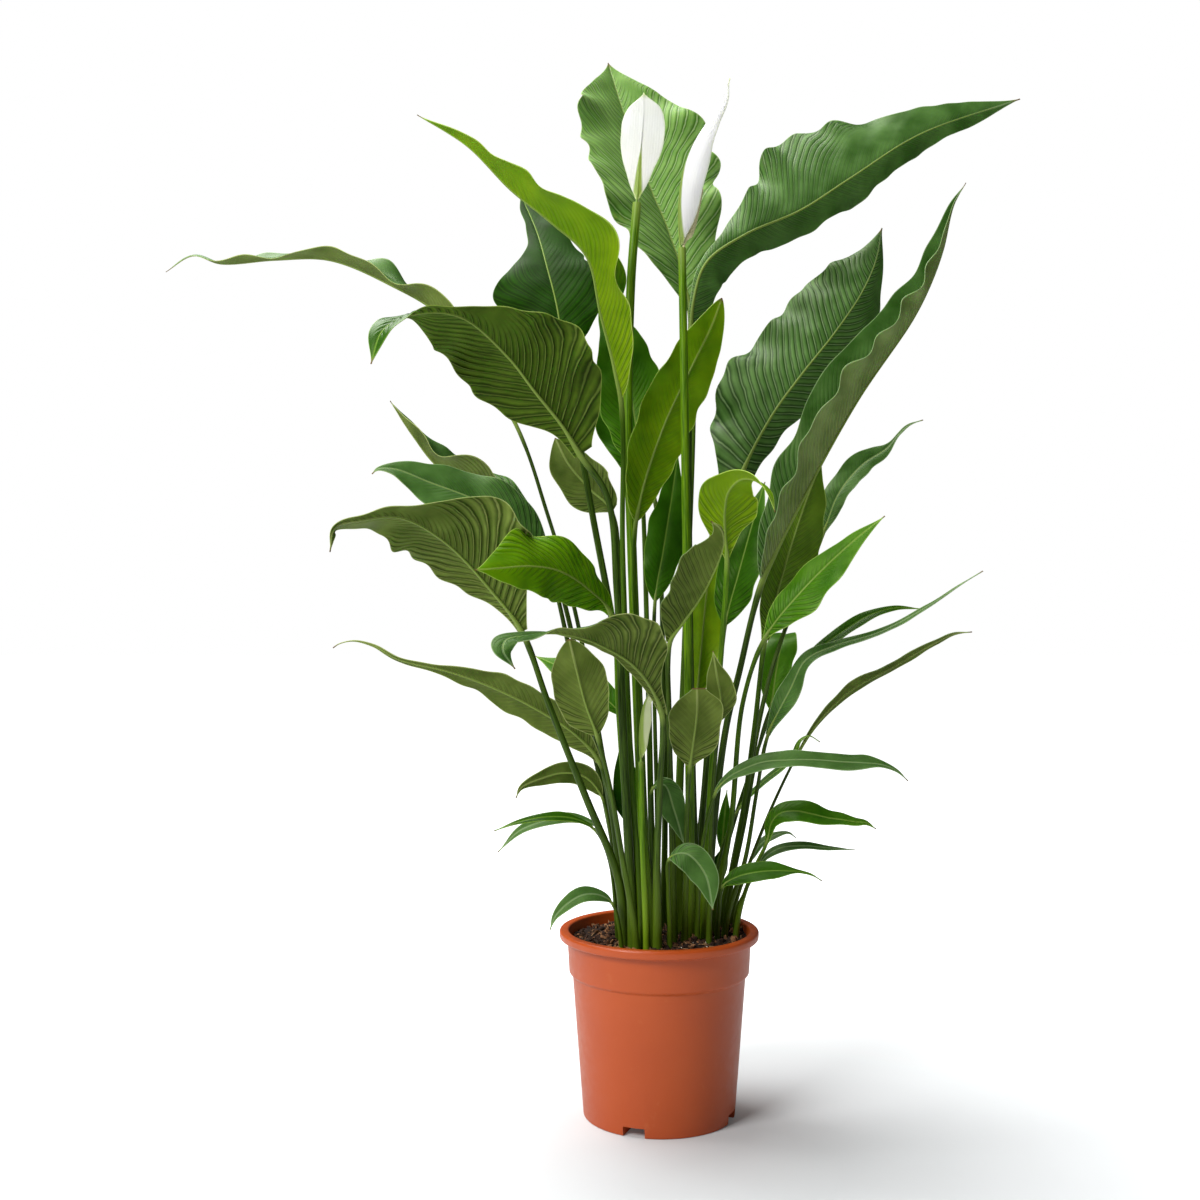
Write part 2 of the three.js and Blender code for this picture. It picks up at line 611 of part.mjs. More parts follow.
    face: [[0.5, -0.1, 0.85]], lift: [46, 46], bladeSteps: 9,
  },
  leaf_left_7: {
    root: [-31, -3], stem: [[-42, 270, -4], [-76, 430, -4]], width: 68, tone: "dark",
    blade: [
      [-112, 556, -8], [-150, 596, -14], [-190, 615, -18], [-230, 630, -22], [-264, 643, -26],
      [-281, 643, -28], [-287, 638, -29],
    ],
    face: [[0.1, -0.8, 0.6]], lift: [10, 10], outline: [1, 1.3], bladeSteps: 11,
  },
  leaf_left_8: {
    root: [-4, -51], stem: [[-2, 250, -66], [1, 330, -82]], width: 92, tone: "olive",
    blade: [
      [3, 396, -98], [-9, 426, -108], [-27, 448, -122], [-54, 465, -142], [-79, 475, -160],
      [-104, 479, -176], [-129, 477, -192], [-153, 472, -204], [-156, 461, -212], [-144, 443, -216],
    ],
    face: [[-0.2, 0.85, 0.4], [-0.2, 0.5, 0.8], [0, -0.6, 0.8]], lift: [6, 50, 10, 10], bladeSteps: 12,
    reach: [[5, 11, 36, 54, 38, 24, 16, 13, 0], [3, 8, 10, 10, 8, 8, 9, 12, 0]],
  },
  leaf_left_9: {
    root: [-22, -54], stem: [[-36, 250, -68], [-48, 320, -76]], width: 54, tone: "olive",
    blade: [[-62, 376, -80], [-73, 406, -87], [-82, 440, -92], [-90, 473, -96]],
    face: [[-0.2, 0.95, 0.2]], outline: [0.75, 0.75], across: 5,
  },
  leaf_left_10: {
    root: [-28, -25], stem: [[-38, 260, -22]], width: 62, tone: "olive",
    blade: [
      [-60, 350, -16], [-84, 378, -18], [-119, 401, -22], [-165, 424, -28], [-209, 440, -34],
      [-262, 453, -40], [-285, 466, -43], [-305, 471, -45], [-320, 468, -47], [-326, 464, -48],
    ],
    face: [[-0.3, 0.8, 0.5], [-0.2, 0.5, 0.8]], bladeSteps: 12, across: 5,
    reach: [[3, 13, 18, 20, 15, 6, 4, 2, 0], [3, 16, 20, 20, 14, 7, 4, 2, 0]],
  },
  leaf_left_11: {
    root: [-28, 12], stem: [[-46, 264, 14]], width: 24, tone: "olive",
    blade: [[-57, 315, 14], [-74, 335, 12], [-96, 339, 8], [-119, 333, 4], [-138, 324, 1], [-143, 314, 0]],
    face: [[-0.3, 0.9, 0.3]],
  },
  leaf_left_12: {
    root: [-40, -6], stem: [[-50, 252, -14]], width: 12, tone: "dark",
    blade: [[-64, 282, -22], [-84, 293, -28], [-112, 295, -36], [-140, 290, -42], [-165, 281, -48]],
    face: [[0.4, -0.5, 0.7], [0, -0.5, 0.85]],
  },
  leaf_left_13: {
    root: [-38, 5], stem: [[-48, 256, 6]], width: 16, tone: "olive",
    blade: [[-60, 284, 6], [-86, 294, 2], [-109, 292, -2], [-138, 282, -6], [-161, 260, -10]],
    face: [[0.4, -0.5, 0.7], [0, -0.5, 0.85]],
  },
  leaf_left_14: {
    root: [-36, -47], stem: [], width: 18, tone: "green", stalkSteps: 2,
    blade: [
      [-47, 209, -56], [-60, 217, -60], [-76, 217, -65], [-92, 208, -70], [-104, 195, -75],
      [-109, 182, -78],
    ],
    face: [[0.3, -0.6, 0.7], [-0.2, -0.7, 0.7]],
  },
  // The lowest dark leaf between the left-hand stalks, and the pair on the far side of the bright one.
  leaf_left_15: {
    root: [-12, -6], stem: [], width: 30, tone: "dark",
    blade: [[-26, 284, 2], [-32, 325, 6], [-38, 372, 12]],
    face: [[0.1, -0.95, 0.2]],
  },
  leaf_left_16: {
    root: [-22, -14], stem: [[-32, 290, -24], [-40, 400, -34]], width: 92, tone: "dark",
    blade: [
      [-48, 498, -46], [-69, 522, -67], [-99, 541, -93], [-129, 546, -114], [-159, 544, -130],
      [-184, 542, -142],
    ],
    face: [[0.1, -0.85, 0.5]], lift: [-25, 6, -20, 6], bladeSteps: 11,
    reach: [[4, 18, 26, 29, 24, 15, 0], [4, 22, 34, 42, 42, 22, 0]],
  },
  // Leaves of the far side, which show between the stalks from in front.
  leaf_back_1: {
    root: [-4, 24], stem: [[-8, 300, 48], [-12, 480, 84]], width: 72, tone: "green",
    blade: [[-18, 640, 116], [-26, 705, 128], [-38, 765, 142], [-62, 818, 164]],
    face: [[0, -0.95, 0.3]],
  },
  leaf_back_2: {
    root: [6, 37], stem: [[6, 300, 70], [4, 460, 118]], width: 64, tone: "dark",
    blade: [[-6, 620, 164], [-32, 676, 182], [-56, 714, 204], [-78, 738, 232]],
    face: [[0.2, -0.85, 0.5]],
  },
  leaf_back_3: {
    root: [-12, 12], stem: [[-24, 300, 30]], width: 42, tone: "green",
    blade: [[-38, 396, 48], [-70, 424, 66], [-100, 445, 84], [-124, 456, 102]],
    face: [[0.3, -0.7, 0.6]],
  },
  leaf_back_4: {
    root: [-18, 25], stem: [[-26, 330, 54], [-38, 480, 64]], width: 52, tone: "olive",
    blade: [[-47, 600, 72], [-68, 622, 80], [-90, 647, 88], [-104, 674, 98]],
    face: [[-0.3, 0.8, 0.5]], outline: [0.7, 0.9],
  },
};

// ---------------------------------------------------------------- blooms
// stem: places on the flower stalk, from the soil up. hood: places up the middle of the white spathe.
// front: from the spathe towards the spadix. spike: places up the middle of the spadix.
const BLOOMS = {
  bloom_left: {
    root: [-12, -22],
    stem: [[-20, 380, -12], [-27, 560, 0], [-31, 700, 6], [-28, 830, 8], [-22, 909, 10]],
    radius: 4.4, hood: [[-20, 940, 13], [-17, 972, 18], [-15, 1000, 21], [-15, 1019, 20]],
    front: [0.1, 1, 0],
    width: 44, face: [[0.1, 0.97, 0.2], [0.1, 0.9, -0.3]], lift: [8, 8], curl: -34,
    reach: [[2, 8, 13, 18, 21, 22, 22, 16, 0], [2, 8, 13, 18, 21, 22, 22, 16, 0]],
    spike: [[-20, 929, 19], [-13, 966, 39]], spikeRadius: 5,
  },
  bloom_right: {
    root: [30, -12],
    stem: [[31, 300, -24], [29, 470, -30], [27, 600, -34], [25, 740, -36], [23, 864, -36]],
    radius: 3.8, front: [1, 0.35, 0],
    hood: [
      [20, 906, -38], [25, 942, -39], [35, 968, -40], [50, 992, -42], [64, 1012, -43], [71, 1034, -44],
    ],
    width: 50, face: [[0.9, 0.35, -0.25], [0.9, 0.2, -0.3]], lift: [26, 26, 20, 20], curl: -50,
    reach: [[3, 15, 23, 25, 24, 20, 13, 6, 0], [3, 15, 23, 25, 24, 20, 13, 6, 0]],
    spike: [[32, 882, -33], [42, 928, -32]], spikeRadius: 3.8,
  },
  bloom_young: {
    root: [-14, -56], stem: [[-16, 260, -66], [-18, 350, -72]],
    radius: 2.6, hood: [[-19, 380, -75], [-15, 408, -79], [-3, 430, -84]], front: [0, 1, 0],
    width: 20, face: [[0.9, 0.3, 0.2], [0.7, 0.3, -0.6]], lift: [64, 64], outline: [0.8, 1.1],
  },
};

// ---------------------------------------------------------------- pot
const STEP_BOTTOM = BAND_BOTTOM - STEP_DROP;
const LIP_BOTTOM = POT_HEIGHT - LIP_HEIGHT;

// The radius inside the pot's wall at a height, below the step in the wall and above it.
function insideRadius(z) {
  if (z <= STEP_BOTTOM) {
    return THREE.MathUtils.mapLinear(z, BASE_THICKNESS, STEP_BOTTOM, FOOT_RADIUS, BODY_TOP_RADIUS) - WALL;
  }
  return THREE.MathUtils.mapLinear(z, BAND_BOTTOM, LIP_BOTTOM, BAND_BOTTOM_RADIUS, BAND_TOP_RADIUS) - WALL;
}

function potGeometry() {
  const mouth = insideRadius(POT_HEIGHT - LIP_ROUND);
  const profile = [
    [0, 0],
    [FOOT_RADIUS - FOOT_BEVEL, 0],
    [FOOT_RADIUS, FOOT_BEVEL],
    [BODY_TOP_RADIUS, STEP_BOTTOM],
    [BAND_BOTTOM_RADIUS, BAND_BOTTOM],
    [BAND_TOP_RADIUS, LIP_BOTTOM],
    [RIM_RADIUS - LIP_ROUND, LIP_BOTTOM],
    [RIM_RADIUS - LIP_BEVEL, LIP_BOTTOM + LIP_ROUND],
    [RIM_RADIUS, POT_HEIGHT - LIP_ROUND],
    [RIM_RADIUS - LIP_BEVEL, POT_HEIGHT - LIP_BEVEL],
    [RIM_RADIUS - LIP_ROUND, POT_HEIGHT],
    [mouth + LIP_ROUND, POT_HEIGHT],
    [mouth, POT_HEIGHT - LIP_ROUND],
    [insideRadius(BAND_BOTTOM + WALL), BAND_BOTTOM + WALL],
    [insideRadius(STEP_BOTTOM), STEP_BOTTOM],
    [insideRadius(BASE_THICKNESS), BASE_THICKNESS],
    [0, BASE_THICKNESS],
  ].map(([r, z]) => new THREE.Vector2(r, z));
  return new THREE.LatheGeometry(profile, POT_SIDES).rotateX(Math.PI / 2);
}

// A bar from the channel's start out through the foot, over one notch.
function channelBar(turn, halfWidth, bottom, top, start, end) {
  const bar = new THREE.BoxGeometry(end - start, 2 * halfWidth, top - bottom);
  bar.translate((start + end) / 2, 0, (bottom + top) / 2);
  return bar.rotateZ(turn);
}

function drainHole(turn) {
  const hole = new THREE.CylinderGeometry(DRAIN_RADIUS, DRAIN_RADIUS, 4 * NOTCH_HEIGHT, DRAIN_SIDES);
  hole.rotateX(Math.PI / 2);
  return hole.translate(DRAIN_PLACE, 0, 0).rotateZ(turn);
}

function notchTurns() {
  return Array.from({ length: NOTCH_COUNT }, (_, i) => NOTCH_TURN + (i * 2 * Math.PI) / NOTCH_COUNT);
}

// What is inside the pot's wall, which trims the roofs over the notches.
function potCore() {
  const top = insideRadius(STEP_BOTTOM);
  const core = new THREE.CylinderGeometry(top, insideRadius(BASE_THICKNESS), STEP_BOTTOM, POT_SIDES);
  core.rotateX(Math.PI / 2);
  return core.translate(0, 0, STEP_BOTTOM / 2);
}

function potSolid() {
  const half = NOTCH_WIDTH / 2;
  const roofTop = NOTCH_HEIGHT + CHANNEL_ROOF;
  const core = toManifold(potCore());
  let pot = toManifold(potGeometry());
  const start = CHANNEL_START - CHANNEL_ROOF;
  const bottom = BASE_THICKNESS / 2;
  for (const turn of notchTurns()) {
    const roof = channelBar(turn, half + CHANNEL_ROOF, bottom, roofTop, start, FOOT_RADIUS);
    pot = pot.add(toManifold(roof).intersect(core));
  }
  for (const turn of notchTurns()) {
    const channel = channelBar(turn, half, -CUT_PAST, NOTCH_HEIGHT, CHANNEL_START, FOOT_RADIUS + CUT_PAST);
    pot = pot.subtract(toManifold(channel));
    pot = pot.subtract(toManifold(drainHole(turn)));
  }
  return pot;
}

// ---------------------------------------------------------------- soil
function soilHeight(x, y) {
  const short = Math.sin(x * SHORT_RIPPLE[0] + RIPPLE_PHASE) * Math.cos(y * SHORT_RIPPLE[1]);
  const long = LONG_RIPPLE_SHARE * Math.sin(x * LONG_RIPPLE[0] - y * LONG_RIPPLE[1]);
  const away = Math.hypot(x - MOUND_PLACE[0], y - MOUND_PLACE[1]) / MOUND_SPREAD;
  return SOIL_LEVEL + SOIL_RELIEF * (short + long) + SOIL_MOUND * Math.exp(-away * away);
}

function soilGeometry() {
  const low = BASE_THICKNESS + CLEARANCE;
  const ledge = BAND_BOTTOM + WALL + CLEARANCE;
  const edge = insideRadius(SOIL_LEVEL) - CLEARANCE;
  const profile = [[0, low]];
  for (const z of [low, STEP_BOTTOM, ledge, SOIL_LEVEL]) {
    profile.push([insideRadius(z) - CLEARANCE, z]);
  }
  for (let i = 1; i <= SOIL_RINGS; i += 1) {
    profile.push([edge * (1 - i / SOIL_RINGS), SOIL_LEVEL]);
  }
  const outline = profile.map(([r, z]) => new THREE.Vector2(r, z));
  const soil = new THREE.LatheGeometry(outline, POT_SIDES).rotateX(Math.PI / 2);
  const places = soil.attributes.position;
  for (let i = 0; i < places.count; i += 1) {
    if (places.getZ(i) > SOIL_LEVEL - 1) {
      places.setZ(i, soilHeight(places.getX(i), places.getY(i)));
    }
  }
  return soil;
}

function soilSolid(holes) {
  const half = NOTCH_WIDTH / 2 + CHANNEL_ROOF + CLEARANCE;
  const roofTop = NOTCH_HEIGHT + CHANNEL_ROOF + CLEARANCE;
  const start = CHANNEL_START - CHANNEL_ROOF - CLEARANCE;
  let soil = toManifold(soilGeometry());
  for (const turn of notchTurns()) {
    soil = soil.subtract(toManifold(channelBar(turn, half, 0, roofTop, start, FOOT_RADIUS + CUT_PAST)));
  }
  for (const hole of holes) {
    soil = soil.subtract(toManifold(hole));
  }
  return soil;
}

// ---------------------------------------------------------------- assembly
const plant = new THREE.Group();
const holes = [];

// Where a bloom's parts stand on the end of its stalk, a little to one side of its middle.
function seatOn(stalk, toSide) {
  const curve = new THREE.CatmullRomCurve3(stalk, false, "centripetal");
  const along = curve.getTangent(1);
  const foot = curve.getPoint(1).addScaledVector(along, CLEARANCE);
  foot.addScaledVector(squareTo(toSide, along), SEAT_OFFSET);
  return [0, 0.5, 1].map((share) => foot.clone().addScaledVector(along, share * SEAT_RISE));
}

function place(name, geometry, tone) {
  const mesh = new THREE.Mesh(geometry, finish(tone));
  mesh.name = name;
  plant.add(mesh);
}

function placeLeaf(name, row) {
  const leaf = filledIn(row);
  const [base, ...midrib] = leaf.blade.map(sighted);
  const stalkPath = rootedPath(leaf.root, [...leaf.stem.map(sighted), base]);
  holes.push(rootHole(stalkPath, leaf.radius, 2 * leaf.across));
  place(name, leafGeometry({ ...leaf, stalkPath, midrib }), leaf.tone);
}

// A round rod along a smooth line; radii gives its radius at a share of its length.
function rod(points, radii, steps, sides) {
  const curve = new THREE.CatmullRomCurve3(points, false, "centripetal");
  const shares = [0, ...evenSpread(steps)];
  const places = [0, ...stationsAlong(curve, 0, 1, evenSpread(steps))];
  const rings = [];
  let up = new THREE.Vector3(0, -1, 0);
  places.forEach((place, i) => {
    const tangent = curve.getTangent(place);
    up = squareTo(up, tangent);
    const side = new THREE.Vector3().crossVectors(tangent, up);
    rings.push(stalkRing(curve.getPoint(place), side, up, radii(shares[i]), sides));
  });
  return loft(rings);
}

function placeBloom(name, bloom) {
  const { root, stem, radius, hood, front, spike, spikeRadius } = bloom;
  const stalkPath = rootedPath(root, stem.map(sighted));
  const stalkRadius = (t) => radius * THREE.MathUtils.lerp(BLOOM_STALK_FLARE, 1, t);
  holes.push(rootHole(stalkPath, stalkRadius(0), BLOOM_STALK_SIDES));
  place(`${name}_stalk`, rod(stalkPath, stalkRadius, BLOOM_STALK_STEPS, BLOOM_STALK_SIDES), "bright");
  const toSpadix = new THREE.Vector3(...front);
  const spathe = {
    ...filledIn(bloom),
    stalkPath: seatOn(stalkPath, toSpadix.clone().negate()),
    midrib: hood.map(sighted),
    radius: HOOD_NECK_RADIUS,
    stalkSteps: 1,
    across: 5,
    bladeSteps: 9,
  };
  place(`${name}_spathe`, leafGeometry(spathe), "white");
  if (spike) {
    const spine = [...seatOn(stalkPath, toSpadix), ...spike.map(sighted)];
    const swell = (t) => SPADIX_BASE_RADIUS + SPADIX_SWELL * Math.max(t - SPADIX_STIPE, 0);
    const thick = (t) => Math.min(spikeRadius, swell(t), SPADIX_BASE_RADIUS + SPADIX_SWELL * (1 - t));
    place(`${name}_spadix`, rod(spine, thick, SPADIX_STEPS, BLOOM_STALK_SIDES), "cream");
  }
}

Object.entries(LEAVES).forEach(([name, leaf]) => placeLeaf(name, leaf));
Object.entries(BLOOMS).forEach(([name, bloom]) => placeBloom(name, bloom));
place("pot", fromManifold(potSolid()), "terracotta");
place("soil", fromManifold(soilSolid(holes)), "peat");

export default plant;
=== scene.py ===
# A potted peace lily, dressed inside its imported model. Blender's unit is the metre; sizes here are in
# millimetres and turn into metres where a mesh is made. +Z is up, and the origin is under the pot's axis.
import math

import bmesh
import bpy
import numpy as np
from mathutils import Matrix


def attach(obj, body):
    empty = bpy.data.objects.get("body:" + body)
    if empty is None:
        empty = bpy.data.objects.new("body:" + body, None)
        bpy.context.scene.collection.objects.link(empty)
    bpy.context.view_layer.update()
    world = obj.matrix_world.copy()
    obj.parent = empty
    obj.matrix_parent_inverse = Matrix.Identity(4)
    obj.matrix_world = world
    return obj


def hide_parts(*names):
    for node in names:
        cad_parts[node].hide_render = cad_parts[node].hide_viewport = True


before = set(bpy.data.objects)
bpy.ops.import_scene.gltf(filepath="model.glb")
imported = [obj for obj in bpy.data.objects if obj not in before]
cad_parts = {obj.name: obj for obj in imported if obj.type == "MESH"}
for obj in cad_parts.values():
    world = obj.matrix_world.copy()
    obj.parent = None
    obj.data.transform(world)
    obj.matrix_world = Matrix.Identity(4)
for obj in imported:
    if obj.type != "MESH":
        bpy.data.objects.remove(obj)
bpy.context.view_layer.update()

# ---------------------------------------------------------------- nursery pot
# One injection moulding of terracotta-coloured polypropylene: a rolled lip, a band below it, a step in the
# wall and a tapered body. Four notches in the foot and the channels behind them let water out of the holes.
MM = 0.001

POT_HEIGHT = 184
WALL = 1.8
BASE_THICKNESS = 2.4
RIM_RADIUS = 99.5
LIP_BOTTOM = POT_HEIGHT - 9
BAND_TOP_RADIUS = 91.5
BAND_BOTTOM_RADIUS = 89.7
BAND_BOTTOM = 142
STEP_BOTTOM = BAND_BOTTOM - 3
BODY_TOP_RADIUS = 86.2
FOOT_RADIUS = 75.5
POT_SIDES = 192

NOTCH_TURNS = [math.radians(-111 + 90 * i) for i in range(4)]
NOTCH_WIDTH = 22
NOTCH_HEIGHT = 9.5
CHANNEL_START = 38
CHANNEL_ROOF = 2
DRAIN_RADIUS = 5
DRAIN_PLACE = 56

# The flow of the melt, the dust and the grain of the mould. A real grain of about 0.3 mm is too fine to show
# in the picture, so it is drawn coarser.
FLOW_SIZE = 70
DUST_SIZE = 9
GRAIN_SIZE = 1.4


def linear(colour):
    """The linear colour of an sRGB hex value, with an alpha of 1."""
    parts = [int(colour[i : i + 2], 16) / 255 for i in (1, 3, 5)]
    return (*[c / 12.92 if c <= 0.04045 else ((c + 0.055) / 1.055) ** 2.4 for c in parts], 1)


def add_node(tree, kind, inputs=None, **settings):
    """Adds a node with its settings, sets or links its inputs, and returns its outputs."""
    node = tree.nodes.new(kind)
    for key, value in settings.items():
        setattr(node, key, value)
    for key, value in (inputs or {}).items():
        if isinstance(value, bpy.types.NodeSocket):
            tree.links.new(value, node.inputs[key])
        else:
            node.inputs[key].default_value = value
    return node.outputs


def new_material(name):
    """An empty node material and its tree."""
    made = bpy.data.materials.new(name)
    made.use_nodes = True
    made.node_tree.nodes.clear()
    return made, made.node_tree


def unit(vectors):
    return vectors / np.linalg.norm(vectors, axis=-1, keepdims=True)


def ring_faces(rows, around, start=0):
    """Quads between rings of points, and a strip of quads over both open ends."""
    i, j = np.meshgrid(np.arange(rows - 1), np.arange(around), indexing="ij")
    after = (j + 1) % around
    walls = np.stack([i * around + j, i * around + after, (i + 1) * around + after, (i + 1) * around + j], -1)
    k = np.arange(around // 2 - 1)
    near = np.stack([k, around - 1 - k, around - 2 - k, k + 1], -1)
    far = near[:, ::-1] + (rows - 1) * around
    return start + np.concatenate([walls.reshape(-1, 4), near, far])


def new_piece(name, points, faces, materials, slots=None, sharp=math.radians(50), **attributes):
    """A mesh object from points in millimetres and quads, with one named value per point in attributes."""
    mesh = bpy.data.meshes.new(name)
    mesh.vertices.add(len(points))
    mesh.vertices.foreach_set("co", (np.asarray(points, np.float32) * MM).ravel())
    mesh.loops.add(faces.size)
    mesh.loops.foreach_set("vertex_index", faces.astype(np.int32).ravel())
    mesh.polygons.add(len(faces))
    mesh.polygons.foreach_set("loop_start", np.arange(0, faces.size, 4, dtype=np.int32))
    mesh.polygons.foreach_set("use_smooth", np.ones(len(faces), bool))
    for one in materials:
        mesh.materials.append(one)
    if slots is not None:
        mesh.polygons.foreach_set("material_index", slots.astype(np.int32))
    for key, values in attributes.items():
        layer = mesh.attributes.new(key, "FLOAT_VECTOR", "POINT")
        layer.data.foreach_set("vector", np.asarray(values, np.float32).ravel())
    mesh.update()
    mesh.set_sharp_from_angle(angle=sharp)
    piece = bpy.data.objects.new(name, mesh)
    bpy.context.scene.collection.objects.link(piece)
    return piece


def tidied(piece, gap=0.002):
    """Merges points that lie in one place and turns every face outwards."""
    work = bmesh.new()
    work.from_mesh(piece.data)
    bmesh.ops.remove_doubles(work, verts=work.verts, dist=gap * MM)
    bmesh.ops.recalc_face_normals(work, faces=work.faces)
    work.to_mesh(piece.data)
    work.free()
    return piece


def rounded(corners, steps=6):
    """A profile through corners (radius, height, rounding), each rounded off that far to both sides."""
    corners = np.array(corners, float)
    line = [corners[0, :2]]
    for before, corner, after in zip(corners, corners[1:], corners[2:]):
        middle = corner[:2]
        start = middle + corner[2] * unit(before[:2] - middle)
        end = middle + corner[2] * unit(after[:2] - middle)
        for s in np.linspace(0, 1, steps if corner[2] else 1):
            line.append((1 - s) ** 2 * start + 2 * s * (1 - s) * middle + s * s * end)
    return np.array([*line, corners[-1, :2]])


def turned(profile, sides):
    """Rings of points: a profile of (radius, height) turned round the pot's axis."""
    turn = np.linspace(0, 2 * math.pi, sides, endpoint=False)
    radius, height = profile[:, :1], profile[:, 1:]
    return np.stack([radius * np.cos(turn), radius * np.sin(turn), height + 0 * turn], -1)


def inside_radius(z):
    """The radius inside the pot's wall at a height, below the step in the wall and above it."""
    body = np.interp(z, [BASE_THICKNESS, STEP_BOTTOM], [FOOT_RADIUS, BODY_TOP_RADIUS])
    band = np.interp(z, [BAND_BOTTOM, POT_HEIGHT], [BAND_BOTTOM_RADIUS, BAND_TOP_RADIUS + 0.5])
    return np.where(np.asarray(z) <= STEP_BOTTOM, body, band) - WALL


def bar(turn, half_width, bottom, top, start, end):
    """A box from start to end of the way out from the axis, in the direction turn."""
    across = np.array([[start, -half_width], [start, half_width], [end, half_width], [end, -half_width]])
    spin = np.array([[math.cos(turn), math.sin(turn)], [-math.sin(turn), math.cos(turn)]])
    flat = across @ spin
    return np.stack([np.column_stack([flat, np.full(4, z)]) for z in (bottom, top)])


def drain(turn):
    """The cutter of one round hole through the channel's roof."""
    ring = turned(np.array([[DRAIN_RADIUS, -1], [DRAIN_RADIUS, 4 * NOTCH_HEIGHT]]), 32)
    return ring + [DRAIN_PLACE * math.cos(turn), DRAIN_PLACE * math.sin(turn), 0]


def combine(piece, shapes, operation):
    """Joins or cuts a piece with shapes that don't touch each other, and applies it."""
    counts = np.cumsum([0, *[shape.shape[0] * shape.shape[1] for shape in shapes]])
    points = np.concatenate([shape.reshape(-1, 3) for shape in shapes])
    faces = np.concatenate([ring_faces(*shape.shape[:2], start) for shape, start in zip(shapes, counts)])
    tool = tidied(new_piece("tool", points, faces, []))
    change = piece.modifiers.new("change", "BOOLEAN")
    change.operation = operation
    change.solver = "EXACT"
    change.object = tool
    bpy.context.view_layer.objects.active = piece
    bpy.ops.object.modifier_apply(modifier=change.name)
    bpy.data.objects.remove(tool, do_unlink=True)


def polypropylene():
    """Moulded polypropylene: satin, a little uneven in tone where the melt flowed, with a fine dull grain."""
    made, tree = new_material("moulded polypropylene")
    place = add_node(tree, "ShaderNodeTexCoord")["Object"]
    flow, dust, grain = (
        add_node(
            tree, "ShaderNodeTexNoise", {"Vector": place, "Scale": 1 / (size * MM), "Detail": detail}
        )["Fac"]
        for size, detail in [(FLOW_SIZE, 2), (DUST_SIZE, 6), (GRAIN_SIZE, 2)]
    )
    dusty = add_node(
        tree, "ShaderNodeMapRange", {"Value": dust, "From Min": 0.62, "From Max": 0.8, "To Max": 0.16}
    )[0]
    colour = linear("#b24610")
    for share, tint in [(flow, "#c05214"), (dusty, "#cc7c48")]:
        colour = add_node(tree, "ShaderNodeMix", {0: share, 6: colour, 7: linear(tint)}, data_type="RGBA")[2]
    gloss = add_node(
        tree, "ShaderNodeMapRange",
        {"Value": dust, "From Min": 0.3, "From Max": 0.7, "To Min": 0.34, "To Max": 0.46},
    )[0]
    bump = add_node(
        tree, "ShaderNodeBump", {"Height": grain, "Strength": 0.3, "Distance": 0.08 * MM}
    )["Normal"]
    shader = add_node(
        tree, "ShaderNodeBsdfPrincipled",
        {"Base Color": colour, "Roughness": gloss, "IOR": 1.49, "Normal": bump},
    )["BSDF"]
    add_node(tree, "ShaderNodeOutputMaterial", {"Surface": shader})
    return made


mouth = float(inside_radius(POT_HEIGHT - 3))
pot_profile = rounded([
    (0, 0, 0),
    (FOOT_RADIUS, 0, 1.6),
    (BODY_TOP_RADIUS, STEP_BOTTOM, 0.9),
    (BAND_BOTTOM_RADIUS, BAND_BOTTOM, 1.4),
    (BAND_TOP_RADIUS, LIP_BOTTOM, 0.8),
    (RIM_RADIUS - 0.4, LIP_BOTTOM, 2.8),
    (RIM_RADIUS, POT_HEIGHT, 3.2),
    (mouth, POT_HEIGHT, 2.4),
    (float(inside_radius(BAND_BOTTOM + WALL)), BAND_BOTTOM + WALL, 0.8),
    (float(inside_radius(STEP_BOTTOM)), STEP_BOTTOM, 0.8),
    (float(inside_radius(BASE_THICKNESS)), BASE_THICKNESS, 1),
    (0, BASE_THICKNESS, 0),
])
pot_rings = turned(pot_profile, POT_SIDES)
pot = tidied(new_piece(
    "nursery_pot", pot_rings.reshape(-1, 3), ring_faces(len(pot_rings), POT_SIDES), [polypropylene()]
))
roof_end = FOOT_RADIUS - WALL + 0.3
combine(pot, [
    bar(turn, NOTCH_WIDTH / 2 + CHANNEL_ROOF, BASE_THICKNESS / 2, NOTCH_HEIGHT + CHANNEL_ROOF,
        CHANNEL_START - CHANNEL_ROOF, roof_end)
    for turn in NOTCH_TURNS
], "UNION")
combine(pot, [
    bar(turn, NOTCH_WIDTH / 2, -1, NOTCH_HEIGHT, CHANNEL_START, FOOT_RADIUS + 4) for turn in NOTCH_TURNS
], "DIFFERENCE")
combine(pot, [drain(turn) for turn in NOTCH_TURNS], "DIFFERENCE")
pot.data.set_sharp_from_angle(angle=math.radians(35))
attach(pot, "root")
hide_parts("pot")

# ---------------------------------------------------------------- potting soil
# Dark peat mixed with crumbs, chips of composted bark, grains of perlite and coir fibres. It fills the pot
# to just under the lip, and is heaped a little behind the right-hand stalks.
SOIL_LEVEL = 174
SOIL_RELIEF = 1.9
SOIL_MOUND = 9
MOUND_PLACE = (40, 34)
MOUND_SPREAD = 37
LUMP_WAVES = 40
LUMP_LENGTHS = (9, 42)
LUMP_HEIGHT = 0.22
SETTLED = 0.8
SOIL_SIDES = 160
SOIL_RINGS = 64
CLEARANCE = 0.35

soil_draw = np.random.default_rng(7)
lump_waves = soil_draw.normal(size=(LUMP_WAVES, 2)) * 2 * math.pi
lump_waves /= soil_draw.uniform(*LUMP_LENGTHS, (LUMP_WAVES, 1))
lump_starts = soil_draw.uniform(0, 2 * math.pi, LUMP_WAVES)


